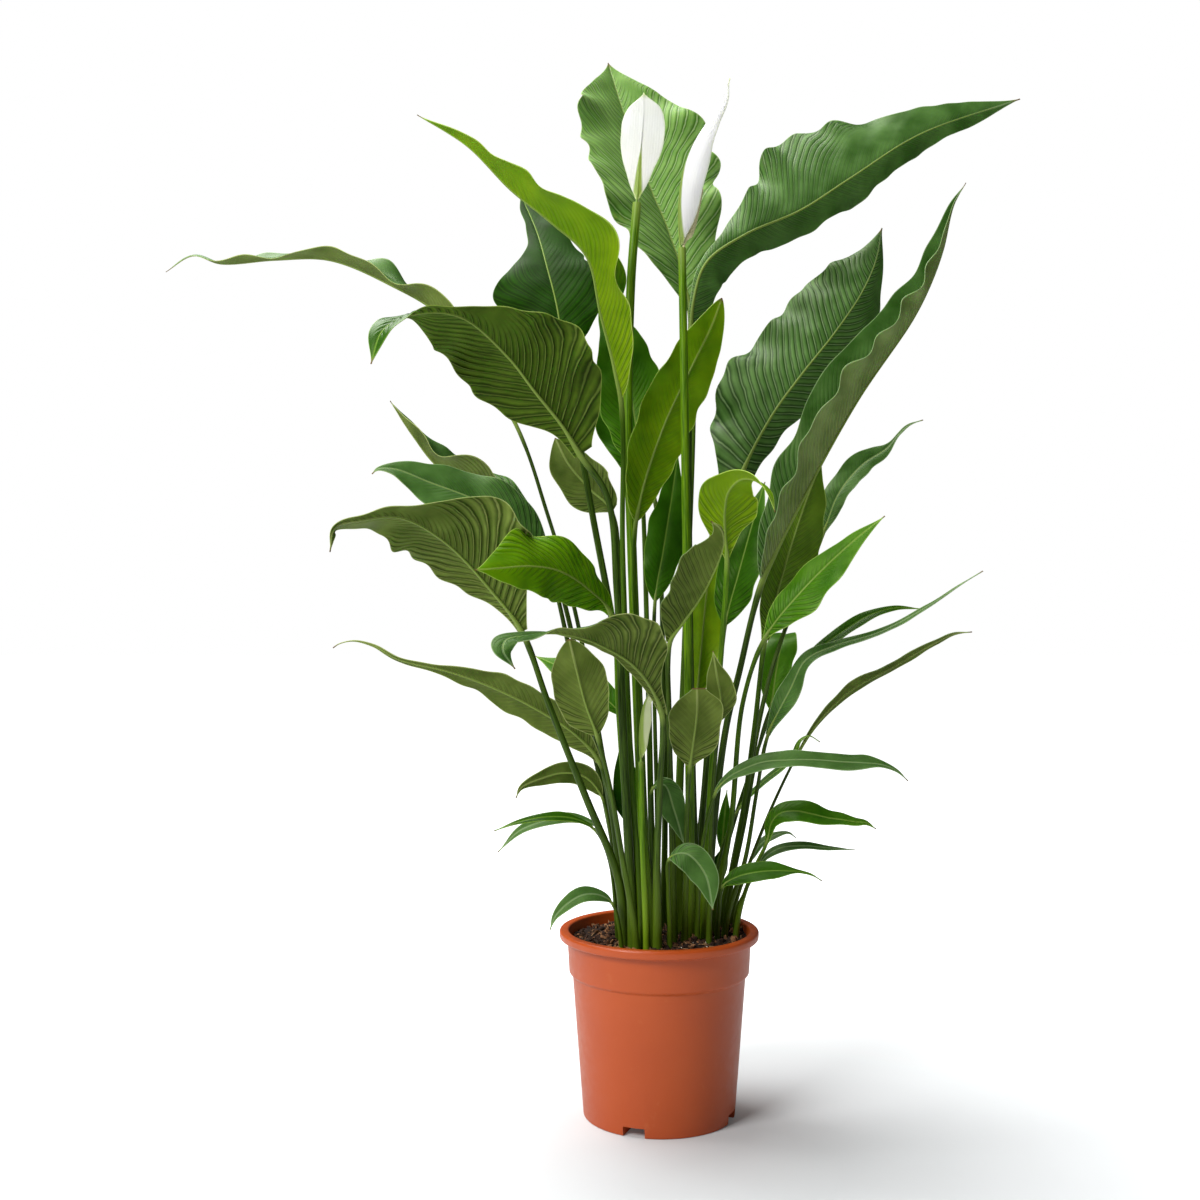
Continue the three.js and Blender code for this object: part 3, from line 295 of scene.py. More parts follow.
def soil_top(x, y):
    """The height of the soil's surface: its slow relief and mound, with lumps of a few millimetres."""
    ripples = np.sin(x * 0.13 + 1.1) * np.cos(y * 0.11) + 0.6 * np.sin(x * 0.07 - y * 0.16)
    away = np.hypot(x - MOUND_PLACE[0], y - MOUND_PLACE[1]) / MOUND_SPREAD
    lumps = np.sin(np.stack([x, y], -1) @ lump_waves.T + lump_starts).sum(-1)
    height = SOIL_LEVEL + SOIL_RELIEF * ripples + SOIL_MOUND * np.exp(-away * away)
    return height + LUMP_HEIGHT * lumps - SETTLED


def peat(name, dark, light, size):
    """Moist peat or bark: broken up in tone at the size of its crumbs, dull, with a crumbly relief."""
    made, tree = new_material(name)
    place = add_node(tree, "ShaderNodeTexCoord")["Object"]
    scale = 1 / (size * MM)
    crumb = add_node(tree, "ShaderNodeTexNoise", {"Vector": place, "Scale": scale, "Detail": 5})["Fac"]
    fine = add_node(
        tree, "ShaderNodeTexNoise", {"Vector": place, "Scale": 4 * scale, "Detail": 4, "Roughness": 0.7}
    )["Fac"]
    share = add_node(tree, "ShaderNodeMapRange", {"Value": crumb, "From Min": 0.38, "From Max": 0.68})[0]
    colour = add_node(
        tree, "ShaderNodeMix", {0: share, 6: linear(dark), 7: linear(light)}, data_type="RGBA"
    )[2]
    depth = 0.1 * size * MM
    bump = add_node(tree, "ShaderNodeBump", {"Height": fine, "Strength": 0.8, "Distance": depth})["Normal"]
    shader = add_node(
        tree, "ShaderNodeBsdfPrincipled",
        {"Base Color": colour, "Roughness": 0.95, "IOR": 1.4, "Normal": bump},
    )["BSDF"]
    add_node(tree, "ShaderNodeOutputMaterial", {"Surface": shader})
    return made


soil_edge = float(inside_radius(SOIL_LEVEL)) - CLEARANCE
ledge = BAND_BOTTOM + WALL + CLEARANCE
low = BASE_THICKNESS + CLEARANCE
wall_heights = [low, STEP_BOTTOM, ledge, SOIL_LEVEL - 6]
soil_profile = np.array(
    [(0, low)]
    + [(float(inside_radius(z)) - CLEARANCE, z) for z in wall_heights]
    + [(soil_edge * (1 - i / SOIL_RINGS), SOIL_LEVEL) for i in range(SOIL_RINGS + 1)]
)
soil_rings = turned(soil_profile, SOIL_SIDES)
surface = soil_rings[1 + len(wall_heights) :]
surface[..., 2] = soil_top(surface[..., 0], surface[..., 1])
soil = tidied(new_piece(
    "soil_fill", soil_rings.reshape(-1, 3), ring_faces(len(soil_rings), SOIL_SIDES),
    [peat("moist peat", "#1a0f09", "#3c2719", 4)], sharp=math.pi,
))
roofs = [
    bar(turn, NOTCH_WIDTH / 2 + CHANNEL_ROOF + CLEARANCE, 0, NOTCH_HEIGHT + CHANNEL_ROOF + CLEARANCE,
        CHANNEL_START - CHANNEL_ROOF - CLEARANCE, FOOT_RADIUS + 4)
    for turn in NOTCH_TURNS
]
combine(soil, roofs, "DIFFERENCE")
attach(soil, "root")
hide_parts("soil")


def lump_template(splits=3):
    """Points and quads of a rounded cube, from -1 to 1."""
    cube = bmesh.new()
    bmesh.ops.create_cube(cube, size=2)
    bmesh.ops.subdivide_edges(cube, edges=cube.edges, cuts=splits - 1, use_grid_fill=True)
    points = np.array([v.co[:] for v in cube.verts])
    faces = np.array([[v.index for v in face.verts] for face in cube.faces])
    cube.free()
    return unit(points) * 0.7 + points * 0.3, faces


def random_turns(draw, count):
    """Turning matrices in every direction alike."""
    w, x, y, z = unit(draw.normal(size=(count, 4))).T
    rows = [
        [1 - 2 * (y * y + z * z), 2 * (x * y - w * z), 2 * (x * z + w * y)],
        [2 * (x * y + w * z), 1 - 2 * (x * x + z * z), 2 * (y * z - w * x)],
        [2 * (x * z - w * y), 2 * (y * z + w * x), 1 - 2 * (x * x + y * y)],
    ]
    return np.array(rows).transpose(2, 0, 1)


def scatter(name, count, sizes, flat, sink, finish):
    """Many lumps on the soil: sizes from smallest to largest (mm), flat gives their three proportions."""
    shape, faces = lump_template()
    away = (soil_edge - 3) * np.sqrt(soil_draw.uniform(0, 1, count))
    turn = soil_draw.uniform(0, 2 * math.pi, count)
    x, y = away * np.cos(turn), away * np.sin(turn)
    size = sizes[0] + (sizes[1] - sizes[0]) * soil_draw.uniform(0, 1, count) ** 2.2
    uneven = 1 + soil_draw.normal(scale=0.16, size=(count, len(shape), 1))
    parts = shape * uneven * np.array(flat) * (size / 2)[:, None, None]
    parts = np.einsum("nij,nkj->nki", random_turns(soil_draw, count), parts)
    parts += np.stack([x, y, soil_top(x, y) + size * (0.5 - sink)], -1)[:, None]
    quads = (faces[None] + (np.arange(count) * len(shape))[:, None, None]).reshape(-1, 4)
    made = new_piece(name, parts.reshape(-1, 3), quads, [finish], sharp=math.radians(60))
    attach(made, "root")


scatter(
    "soil_crumbs_dark", 1500, (1.4, 7), (1, 0.8, 0.7), 0.45, peat("peat crumbs", "#1d110a", "#4a3020", 2.5)
)
scatter(
    "soil_crumbs_brown", 700, (1.2, 5), (1, 0.7, 0.6), 0.4, peat("brown peat crumbs", "#442a1c", "#7a5236", 2)
)
scatter("soil_bark", 300, (3, 11), (1, 0.45, 0.2), 0.3, peat("composted bark", "#64412a", "#a87850", 3))
scatter("soil_fibres", 170, (6, 14), (1, 0.09, 0.07), 0.4, peat("coir fibres", "#7c5a3a", "#b8926a", 6))
scatter(
    "soil_perlite", 70, (1.2, 3.4), (1, 0.9, 0.8), 0.35, peat("perlite grains", "#b9ab93", "#efe8da", 1.5)
)

# ---------------------------------------------------------------- leaves, and those of the right-hand side
# A leaf is one growth: a long round stalk that is channelled on top and swells a little at its knee, and a
# thin waved blade, quilted between the side veins that arch from its midrib towards the tip.
EYE_ACROSS = -59
EYE_DISTANCE = 1463
EYE_HEIGHT = 512

ROOT_DEPTH = 30
COLLAR_HEIGHT = 24
COLLAR_LEAN = 0.6
LEAST_STALK_RADIUS = 1.8
MOST_STALK_RADIUS = 4.6
RADIUS_PER_WIDTH = 0.026
STALK_TAPER = 0.62
FLARE_HEIGHT = 38
KNEE_BEFORE_BLADE = 16
KNEE_LENGTH = 11
KNEE_SWELL = 0.16
KNEE_LEAST_RADIUS = 2.4
CHANNEL_DEPTH = 0.26
RIB_TAPER = 0.42
RIB_SUNK = 0.86
RIB_TIP = 0.12

LEAF_THICKNESS = 0.55
HALF_TIP = 0.6
FRILL_LENGTHS = (40, 100)
SCALLOP_LENGTHS = (24, 70)
DENT_LENGTHS = (18, 46)
HALVES_OUT_OF_STEP = 1.9

LEAST_VEIN_SPACING = 4.6
SPACING_PER_WIDTH = 0.034
LEAST_QUILTING = 0.6
QUILTING_PER_WIDTH = 0.006
VEIN_LEAVING = 1.1
VEIN_ARCHING = 0.45
LEAST_VEIN_STEP = 0.4
VEINLESS_BELOW = 3
VEINED_FROM = 7
RIB_GROOVE_WIDTH = 2.2
RIB_GROOVE_DEPTH = 0.05

ROWS_PER_VEIN = 6
# The parallel veins between two side veins are too fine to show, so only a few broad ones are drawn.
FINE_PER_VEIN = 3
BLADE_COLUMNS = [(45, 14), (24, 9), (0, 6)]
LINE_STEPS = 48

# Clouds in the green, and the skin's cells. Real cells are too fine to show, so they are drawn coarser.
CLOUD_SIZE = 28
CELL_SIZE = 1.1
# How near a vein the painted shade in its groove begins and is full.
PAINTED_GROOVE_SHADE = (0.35, 0.8)
VEIN_LINE = (0.78, 0.96)
DRY_TIP = (0.975, 0.995)
WAX_IOR = 1.42
# A stalk's streaks are drawn wider than its fibres, which are too fine to show.
STREAK_WIDTH = 1.1111
GRAIN_LENGTH = 25
LIFE_HEIGHT = 100


def sighted(place):
    """The place [across, up, back] on its line of sight, back behind the plane through the pot's axis."""
    across, up, back = place
    reach = 1 + back / EYE_DISTANCE
    x, z = EYE_ACROSS + (across - EYE_ACROSS) * reach, EYE_HEIGHT + (up - EYE_HEIGHT) * reach
    return np.array([x, back, z])


def ease(x):
    x = np.clip(x, 0, 1)
    return x * x * (3 - 2 * x)


def mix_rows(values, share):
    """Straight-line vectors between even steps, at shares from 0 to 1."""
    values = np.array(values, float)
    steps = np.linspace(0, 1, len(values)) if len(values) > 1 else [0]
    return np.stack([np.interp(share, steps, values[:, k]) for k in range(values.shape[1])], -1)


def square_to(direction, heading):
    return unit(direction - np.sum(direction * heading, -1, keepdims=True) * heading)


def smooth_line(points):
    """A centripetal Catmull-Rom line through points, with LINE_STEPS steps between two of them."""
    points = np.array(points, float)
    ends = np.vstack([2 * points[0] - points[1], points, 2 * points[-1] - points[-2]])
    w = np.linspace(0, 1, LINE_STEPS, endpoint=False)[:, None]
    line = []
    for p0, p1, p2, p3 in zip(ends, ends[1:], ends[2:], ends[3:]):
        d0, d1, d2 = (math.sqrt(np.linalg.norm(b - a)) for a, b in ((p0, p1), (p1, p2), (p2, p3)))
        leave = ((p1 - p0) / d0 - (p2 - p0) / (d0 + d1) + (p2 - p1) / d1) * d1
        arrive = ((p2 - p1) / d1 - (p3 - p1) / (d1 + d2) + (p3 - p2) / d2) * d1
        bend = -3 * p1 + 3 * p2 - 2 * leave - arrive
        line.append(p1 + leave * w + bend * w**2 + (2 * p1 - 2 * p2 + leave + arrive) * w**3)
    return np.vstack([*line, points[-1:]])


def follow(points):
    """A function that gives place and heading so many millimetres along a line, and the run to each point."""
    line = smooth_line(points)
    run = np.concatenate([[0], np.cumsum(np.linalg.norm(np.diff(line, axis=0), axis=1))])
    heading = unit(np.gradient(line, run, axis=0))

    def along(distance):
        place = np.stack([np.interp(distance, run, line[:, k]) for k in range(3)], -1)
        return place, unit(np.stack([np.interp(distance, run, heading[:, k]) for k in range(3)], -1))

    return along, run[::LINE_STEPS]


def rooted(root, path):
    """The line of a stalk, from its end in the soil over the collar just above it to the given path."""
    bottom = np.array([*root, SOIL_LEVEL - ROOT_DEPTH], float)
    rise = ROOT_DEPTH + COLLAR_HEIGHT
    lean = path[0] - bottom
    collar = bottom + lean * (COLLAR_LEAN * rise / lean[2])
    collar[2] = bottom[2] + rise
    return [bottom, collar, *path]


def bent_across(share, lift, curl):
    """How far a blade reaches sideways and upwards at shares of its half width."""
    start, turn = np.radians(lift), math.radians(curl)
    end = start - turn * share
    return (np.sin(start) - np.sin(end)) / turn, (np.cos(end) - np.cos(start)) / turn


def outline(t, form):
    rise, fall = form
    peak = rise / (rise + fall)
    return t**rise * (1 - t) ** fall / (peak**rise * (1 - peak) ** fall)


def smooth_along(values, t):
    """A smooth line through evenly spaced values, at shares t from 0 to 1."""
    values = np.array(values, float)
    last = len(values) - 1
    i = np.minimum(np.floor(t * last).astype(int), last - 1)
    w = t * last - i
    leave = (values[i + 1] - values[np.maximum(i - 1, 0)]) / 2
    arrive = (values[np.minimum(i + 2, last)] - values[i]) / 2
    bend = 3 * (values[i + 1] - values[i]) - 2 * leave - arrive
    turn = 2 * (values[i] - values[i + 1]) + leave + arrive
    return values[i] + leave * w + bend * w**2 + turn * w**3


def half_reach(leaf, t, right):
    """How far the halves of a blade reach from its midrib, by its tables or by its width and outline."""
    if "reach" in leaf:
        wanted = np.where(right, smooth_along(leaf["reach"][-1], t), smooth_along(leaf["reach"][0], t))
    else:
        wanted = leaf["width"] / 2 * outline(t, leaf["outline"])
    return np.maximum(wanted, HALF_TIP)


def wavering(draw, length, lengths, count=4):
    """A seeded wave along a leaf, made of waves whose lengths lie between two values in millimetres."""
    waves = draw.uniform(*lengths, count)
    starts = draw.uniform(0, 2 * math.pi, count)

    def height(t):
        parts = (np.sin(2 * math.pi * t * length / wave + begin) for wave, begin in zip(waves, starts))
        return sum(parts) / math.sqrt(count)

    return height


def blade_sheet(leaf, along, start, length, draw):
    """A function that gives the places on a blade's middle sheet, and how far each half reaches there."""
    frills = [wavering(draw, length, FRILL_LENGTHS) for _ in range(2)]
    scallops = [wavering(draw, length, SCALLOP_LENGTHS) for _ in range(2)]
    lifts = [float(x) for x in leaf["lift"]]
    lifts = lifts if len(lifts) == 4 else lifts * 2

    def sheet(t, share, right):
        reach = half_reach(leaf, t, right)
        inner = ease(5 * t) * ease(4 * (1 - t))
        lift = np.where(right, lifts[1] + (lifts[3] - lifts[1]) * t, lifts[0] + (lifts[2] - lifts[0]) * t)
        out, rise = bent_across(share, lift, leaf["curl"])
        swing = np.sin(
            2 * math.pi * leaf["wave"][1] * t + leaf["phase"] + np.where(right, HALVES_OUT_OF_STEP, 0)
        )
        ripple = leaf["wave"][0] * share**2 * swing
        frill = np.where(right, frills[1](t), frills[0](t))
        ripple = ripple + leaf["ruffle"] * frill * share**2.2 * inner
        scallop = leaf["scallop"] * share * np.where(right, scallops[1](t), scallops[0](t))
        out = out * (1 + scallop * inner)
        centre, heading = along(start + t * length)
        upper = square_to(mix_rows(leaf["face"], t), heading)
        side = np.cross(heading, upper) * np.where(right, 1, -1)[..., None]
        return centre + side * (out * reach)[..., None] + upper * ((rise + ripple) * reach)[..., None], reach

    return sheet


def crumpled(draw, run, across, count=6):
    """Seeded shallow dents over a blade, from waves that cross it in every direction."""
    turns = draw.uniform(0, math.pi, count)
    waves = draw.uniform(*DENT_LENGTHS, count)
    starts = draw.uniform(0, 2 * math.pi, count)
    parts = (
        np.sin(2 * math.pi * (run * math.cos(turn) + across * math.sin(turn)) / wave + begin)
        for turn, wave, begin in zip(turns, waves, starts)
    )
    return sum(parts) / math.sqrt(count)


def blade_grid(leaf, length, veins):
    """Rows that follow the side veins: where they start, the shares along and across, and the right half."""
    half = next(columns for least, columns in BLADE_COLUMNS if leaf["width"] > least)
    share = np.linspace(0, 1, half + 1) ** 1.2
    share = np.concatenate([share[:0:-1], share])
    r = np.linspace(0, 1, veins * ROWS_PER_VEIN + 1)[:, None]
    right = np.broadcast_to(np.arange(2 * half + 1) > half, (len(r), 2 * half + 1))
    slope = (VEIN_LEAVING * share + VEIN_ARCHING * share**3) * half_reach(leaf, r, right)
    slope = slope / (length * (1 - r) + 1e-3)
    steps = np.diff(r + (1 - r) * np.tanh(slope), axis=0)
    steps = np.maximum(steps, LEAST_VEIN_STEP / (len(r) - 1))
    t = np.concatenate([np.zeros((1, 2 * half + 1)), np.cumsum(steps, axis=0)])
    t = np.clip(t / t[-1], 0, 1)
    return r, t, np.broadcast_to(share, t.shape), right


def blade_rings(leaf, along, start, length, draw, thickness):
    """A blade's rings, top face then underside, and the maps of its veins and of its place on the leaf."""
    width = leaf["width"]
    veins = max(5, round(length / leaf.get("veins", LEAST_VEIN_SPACING + SPACING_PER_WIDTH * width)))
    r, t, share, right = blade_grid(leaf, length, veins)
    half = t.shape[1] // 2
    sign = np.where(right, 1, -1)

    # The middle sheet, and its normal from small steps across and along.
    sheet = blade_sheet(leaf, along, start, length, draw)
    place, reach = sheet(t, share, right)
    inner, outer = np.maximum(share - 0.02, 0), np.minimum(share + 0.02, 1)
    before, after = np.maximum(t - 0.004, 0), np.minimum(t + 0.004, 1)
    across = (sheet(t, outer, right)[0] - sheet(t, inner, right)[0]) * sign[..., None]
    lengthwise = sheet(after, share, right)[0] - sheet(before, share, right)[0]
    normal = unit(np.cross(across, lengthwise))
    normal[:, half] = unit(normal[:, half - 1] + normal[:, half + 1])

    from_rib = share * reach
    from_edge = (1 - share) * reach
    by_row, by_column = np.gradient(place, axis=0), np.gradient(place, axis=1)
    patch = np.linalg.norm(np.cross(by_row, by_column), axis=-1)
    apart = ROWS_PER_VEIN * patch / (np.linalg.norm(by_column, axis=-1) + 1e-3)
    room = ease((apart - VEINLESS_BELOW) / (VEINED_FROM - VEINLESS_BELOW))
    # The relief: quilting that fades out where veins crowd, at the rib, rim, foot and tip, and soft dents.
    phase = r * veins + 0.5 * right
    between = 1 - np.abs(2 * (phase % 1) - 1) ** 2.6
    quilting = leaf.get("depth", LEAST_QUILTING + QUILTING_PER_WIDTH * width) * (between - 0.5)
    quilting = quilting * ease(from_rib / 6) * ease(from_edge / 5) * ease(t / 0.1)
    quilting = quilting * ease((1 - t) / 0.12) * room
    groove = np.exp(-((from_rib / RIB_GROOVE_WIDTH) ** 2)) * ease(8 * (1 - t)) * ease(reach / 8)
    dents = crumpled(draw, t * length, sign * from_rib)
    dents = leaf["crumple"] * dents * ease(from_rib / 12) * ease((1 - t) / 0.1) * ease(reach / 24)
    relief = quilting - RIB_GROOVE_DEPTH * width**0.5 * groove + dents
    top = place + normal * (relief + thickness / 2)[..., None]
    under = place + normal * (relief - thickness / 2)[..., None]
    rings = np.concatenate([top, under[:, ::-1]], axis=1)

    vein_map = np.stack([phase, sign * from_rib, from_edge], -1)
    leaf_map = np.stack([t, np.full(t.shape, draw.uniform()), room], -1)
    both = [np.concatenate([m, m[:, ::-1]], axis=1) for m in (vein_map, leaf_map)]
    return rings, *both


def rod_maps(thick, angle, run, life):
    """A stalk's maps: its grain round and along it, and its share of the way, its seed and its height."""
    around = [thick * np.cos(angle), thick * np.sin(angle), run[:, None] / GRAIN_LENGTH]
    shape = np.broadcast_shapes(*(one.shape for one in around))
    maps = ([np.broadcast_to(one, shape) for one in rows] for rows in (around, life))
    return [np.stack(rows, -1) for rows in maps]


def stalk_rings(leaf, along, start, length, draw, sides):
    """The rings of a stalk that runs on under the blade as its rib, and their maps."""
    radius, neck = leaf["radius"], leaf["radius"] * STALK_TAPER
    below = np.linspace(0, start, max(int(start / 6), 12), endpoint=False)
    beyond = start + length * np.linspace(0, 0.97, max(int(length / 5), 12))
    distance = np.concatenate([below, beyond])
    t = np.clip((distance - start) / length, 0, 1)
    share = np.clip(distance / start, 0, 1)
    centre, heading = along(distance)

    up = square_to(mix_rows(leaf["face"], t), heading)
    for i in range(len(below) - 1, -1, -1):
        up[i] = square_to(up[i + 1], heading[i])
    side = np.cross(heading, up)

    height = centre[:, 2] - SOIL_LEVEL
    flare = 1 + leaf["flare"] * np.exp(-np.clip(height, 0, None) / FLARE_HEIGHT)
    from_knee = (start - distance - KNEE_BEFORE_BLADE) / KNEE_LENGTH
    knee = 1 + KNEE_SWELL * np.exp(-(from_knee**2)) * (radius > KNEE_LEAST_RADIUS)
    on_blade = neck * (1 - RIB_TAPER * ease(t / 0.12)) * (1 - t) ** 0.9 + RIB_TIP
    thick = np.where(distance < start, (radius + (neck - radius) * share) * flare * knee, on_blade)
    centre = centre - up * (RIB_SUNK * ease(t / 0.1) * thick)[:, None]

    angle = math.pi * (1 - (2 * np.arange(sides) + 1) / sides)
    channel = CHANNEL_DEPTH * np.clip(np.sin(angle), 0, 1) ** 6
    opening = ease(height / 30) * (1 - ease((distance - start + 24) / 24))
    round_it = thick[:, None] * (1 - channel * opening[:, None])
    rings = (
        centre[:, None]
        + side[:, None] * (np.cos(angle) * round_it)[..., None]
        + up[:, None] * (np.sin(angle) * round_it)[..., None]
    )
    life = [share[:, None], draw.uniform(), height[:, None] / LIFE_HEIGHT]
    return rings, *rod_maps(thick[:, None], angle, distance, life)


def leaf_skin(name, deep, light, shade, vein, edge, rough, contrast, see_through):
    """Waxy leaf skin: side veins, their fine parallels, a pale rib and edge, cloudy green, painted highlight
    and shade.
    """
    made, tree = new_material(name)
    veins = add_node(tree, "ShaderNodeAttribute", attribute_name="vein_map")["Vector"]
    phase, from_rib, from_edge = add_node(tree, "ShaderNodeSeparateXYZ", {"Vector": veins})
    growth = add_node(tree, "ShaderNodeAttribute", attribute_name="leaf_map")["Vector"]
    along, seed, room = add_node(tree, "ShaderNodeSeparateXYZ", {"Vector": growth})
    place = add_node(tree, "ShaderNodeTexCoord")["Object"]
    cloud, cells = (
        add_node(
            tree, "ShaderNodeTexNoise", {"Vector": place, "Scale": 1 / (size * MM), "Detail": detail}
        )["Fac"]
        for size, detail in [(CLOUD_SIZE, 3), (CELL_SIZE, 2)]
    )

    # How near the next side vein is, from 0 halfway between two veins to 1 on a vein.
    shifted = add_node(tree, "ShaderNodeMath", {0: cloud, 1: 0.5, 2: phase}, operation="MULTIPLY_ADD")[0]
    shifted = add_node(tree, "ShaderNodeMath", {0: shifted, 1: 0.25}, operation="SUBTRACT")[0]
    part = add_node(tree, "ShaderNodeMath", {0: shifted}, operation="FRACT")[0]
    swing = add_node(tree, "ShaderNodeMath", {0: part, 1: 2, 2: -1}, operation="MULTIPLY_ADD")[0]
    nearness = add_node(tree, "ShaderNodeMath", {0: swing}, operation="ABSOLUTE")[0]
    turns = 2 * math.pi * FINE_PER_VEIN
    fine = add_node(tree, "ShaderNodeMath", {0: shifted, 1: turns}, operation="MULTIPLY")[0]
    fine = add_node(tree, "ShaderNodeMath", {0: fine}, operation="SINE")[0]
    fine = add_node(tree, "ShaderNodeMath", {0: fine, 1: room}, operation="MULTIPLY")[0]

    # The green between the veins: cloudy, with painted highlight on the bulges between them, and a little
    # different on each leaf.
    bulge_highlight = add_node(
        tree, "ShaderNodeMapRange", {"Value": nearness, "From Max": 0.6, "To Min": 0.45, "To Max": 0}
    )[0]
    bulge_highlight = add_node(tree, "ShaderNodeMath", {0: bulge_highlight, 1: room}, operation="MULTIPLY")[0]
    mottle_and_highlight = add_node(
        tree, "ShaderNodeMapRange",
        {"Value": cloud, "From Min": 0.3, "From Max": 0.7, "To Min": -0.1, "To Max": 0.75},
    )[0]
    # From here the cloudy green also carries the painted highlight of the bulges.
    mottle_and_highlight = add_node(tree, "ShaderNodeMath", {0: mottle_and_highlight, 1: bulge_highlight}, operation="ADD")[0]
    for value, weight in [(fine, 0.12), (seed, 0.4)]:
        mottle_and_highlight = add_node(
            tree, "ShaderNodeMath", {0: value, 1: weight, 2: mottle_and_highlight}, operation="MULTIPLY_ADD"
        )[0]
    mottle_and_highlight = add_node(tree, "ShaderNodeMath", {0: mottle_and_highlight, 1: 0.75}, operation="MULTIPLY", use_clamp=True)[0]

    # Painted shade in the grooves beside the veins, then the veins, the rib, the rim and the dry tip, each
    # laid over the last.
    strength = add_node(tree, "ShaderNodeMath", {0: room, 1: contrast}, operation="MULTIPLY")[0]
    layers = [(mottle_and_highlight, light)]
    for (low, high), weight, tint in [(PAINTED_GROOVE_SHADE, 1, shade), (VEIN_LINE, 0.6, vein)]:
        near = add_node(
            tree, "ShaderNodeMapRange",
            {"Value": nearness, "From Min": low, "From Max": high, "To Max": weight},
            interpolation_type="SMOOTHSTEP",
        )[0]
        near = add_node(tree, "ShaderNodeMath", {0: near, 1: strength}, operation="MULTIPLY")[0]
        layers.append((near, tint))
    off_rib = add_node(tree, "ShaderNodeMath", {0: from_rib}, operation="ABSOLUTE")[0]
    rib = add_node(
        tree, "ShaderNodeMapRange",
        {"Value": off_rib, "From Min": 0.4, "From Max": 1.4, "To Min": 0.4, "To Max": 0},
        interpolation_type="SMOOTHSTEP",
    )[0]
    rim = add_node(
        tree, "ShaderNodeMapRange",
        {"Value": from_edge, "From Min": 0.2, "From Max": 1, "To Min": 0.6, "To Max": 0},
    )[0]
    dry = add_node(
        tree, "ShaderNodeMapRange", {"Value": along, "From Min": DRY_TIP[0], "From Max": DRY_TIP[1]}
    )[0]
    colour = linear(deep)
    for share, tint in [*layers, (rib, edge), (rim, edge), (dry, "#6b5233")]:
        colour = add_node(tree, "ShaderNodeMix", {0: share, 6: colour, 7: linear(tint)}, data_type="RGBA")[2]

    gloss = add_node(
        tree, "ShaderNodeMapRange", {"Value": cloud, "To Min": rough - 0.06, "To Max": rough + 0.08}
    )[0]
    height = add_node(tree, "ShaderNodeMath", {0: fine, 1: 0.3, 2: cells}, operation="MULTIPLY_ADD")[0]
    bump = add_node(
        tree, "ShaderNodeBump", {"Height": height, "Strength": 0.35, "Distance": 0.1 * MM}
    )["Normal"]
    shader = add_node(
        tree, "ShaderNodeBsdfPrincipled",
        {"Base Color": colour, "Roughness": gloss, "IOR": WAX_IOR, "Specular IOR Level": 0.18,
         "Specular Tint": linear("#e8ffb0"), "Normal": bump,
         "Subsurface Weight": see_through, "Subsurface Radius": (0.45, 1, 0.05),
         "Subsurface Scale": 2.5 * MM},
    )["BSDF"]
    add_node(tree, "ShaderNodeOutputMaterial", {"Surface": shader})
    return made


def stalk_skin(name, pale, deep, light, rough=0.42):
    """Smooth juicy stalk: pale and yellowish at the soil, green above, streaked lengthwise by its fibres."""
    made, tree = new_material(name)
    grain = add_node(tree, "ShaderNodeAttribute", attribute_name="grain")["Vector"]
    life = add_node(tree, "ShaderNodeAttribute", attribute_name="life")["Vector"]
    share, seed, height = add_node(tree, "ShaderNodeSeparateXYZ", {"Vector": life})
    scale = 1 / STREAK_WIDTH
    streak = add_node(tree, "ShaderNodeTexNoise", {"Vector": grain, "Scale": scale, "Detail": 3})["Fac"]
    patch = add_node(tree, "ShaderNodeMapRange", {"Value": streak, "From Min": 0.35, "From Max": 0.65})[0]
    young = add_node(
        tree, "ShaderNodeMapRange",
        {"Value": height, "From Min": 0.1, "From Max": 1.3, "To Min": 0.85, "To Max": 0},
        interpolation_type="SMOOTHSTEP",
    )[0]
    aged = add_node(tree, "ShaderNodeMapRange", {"Value": seed, "From Min": 0.3, "To Max": 0.55})[0]
    rib = add_node(tree, "ShaderNodeMapRange", {"Value": share, "From Min": 0.96, "To Max": 0.75})[0]
    colour = linear(deep)
    for part, tint in [(patch, light), (young, pale), (aged, "#203a04"), (rib, "#869c46")]:
        colour = add_node(tree, "ShaderNodeMix", {0: part, 6: colour, 7: linear(tint)}, data_type="RGBA")[2]
    bump = add_node(
        tree, "ShaderNodeBump", {"Height": streak, "Strength": 0.5, "Distance": 0.3 * MM}
    )["Normal"]
    shader = add_node(
        tree, "ShaderNodeBsdfPrincipled",
        {"Base Color": colour, "Roughness": rough, "IOR": WAX_IOR, "Specular IOR Level": 0.22, "Normal": bump,
         "Subsurface Weight": 0.12, "Subsurface Radius": (0.5, 1, 0.15), "Subsurface Scale": 2 * MM},
    )["BSDF"]
    add_node(tree, "ShaderNodeOutputMaterial", {"Surface": shader})
    return made
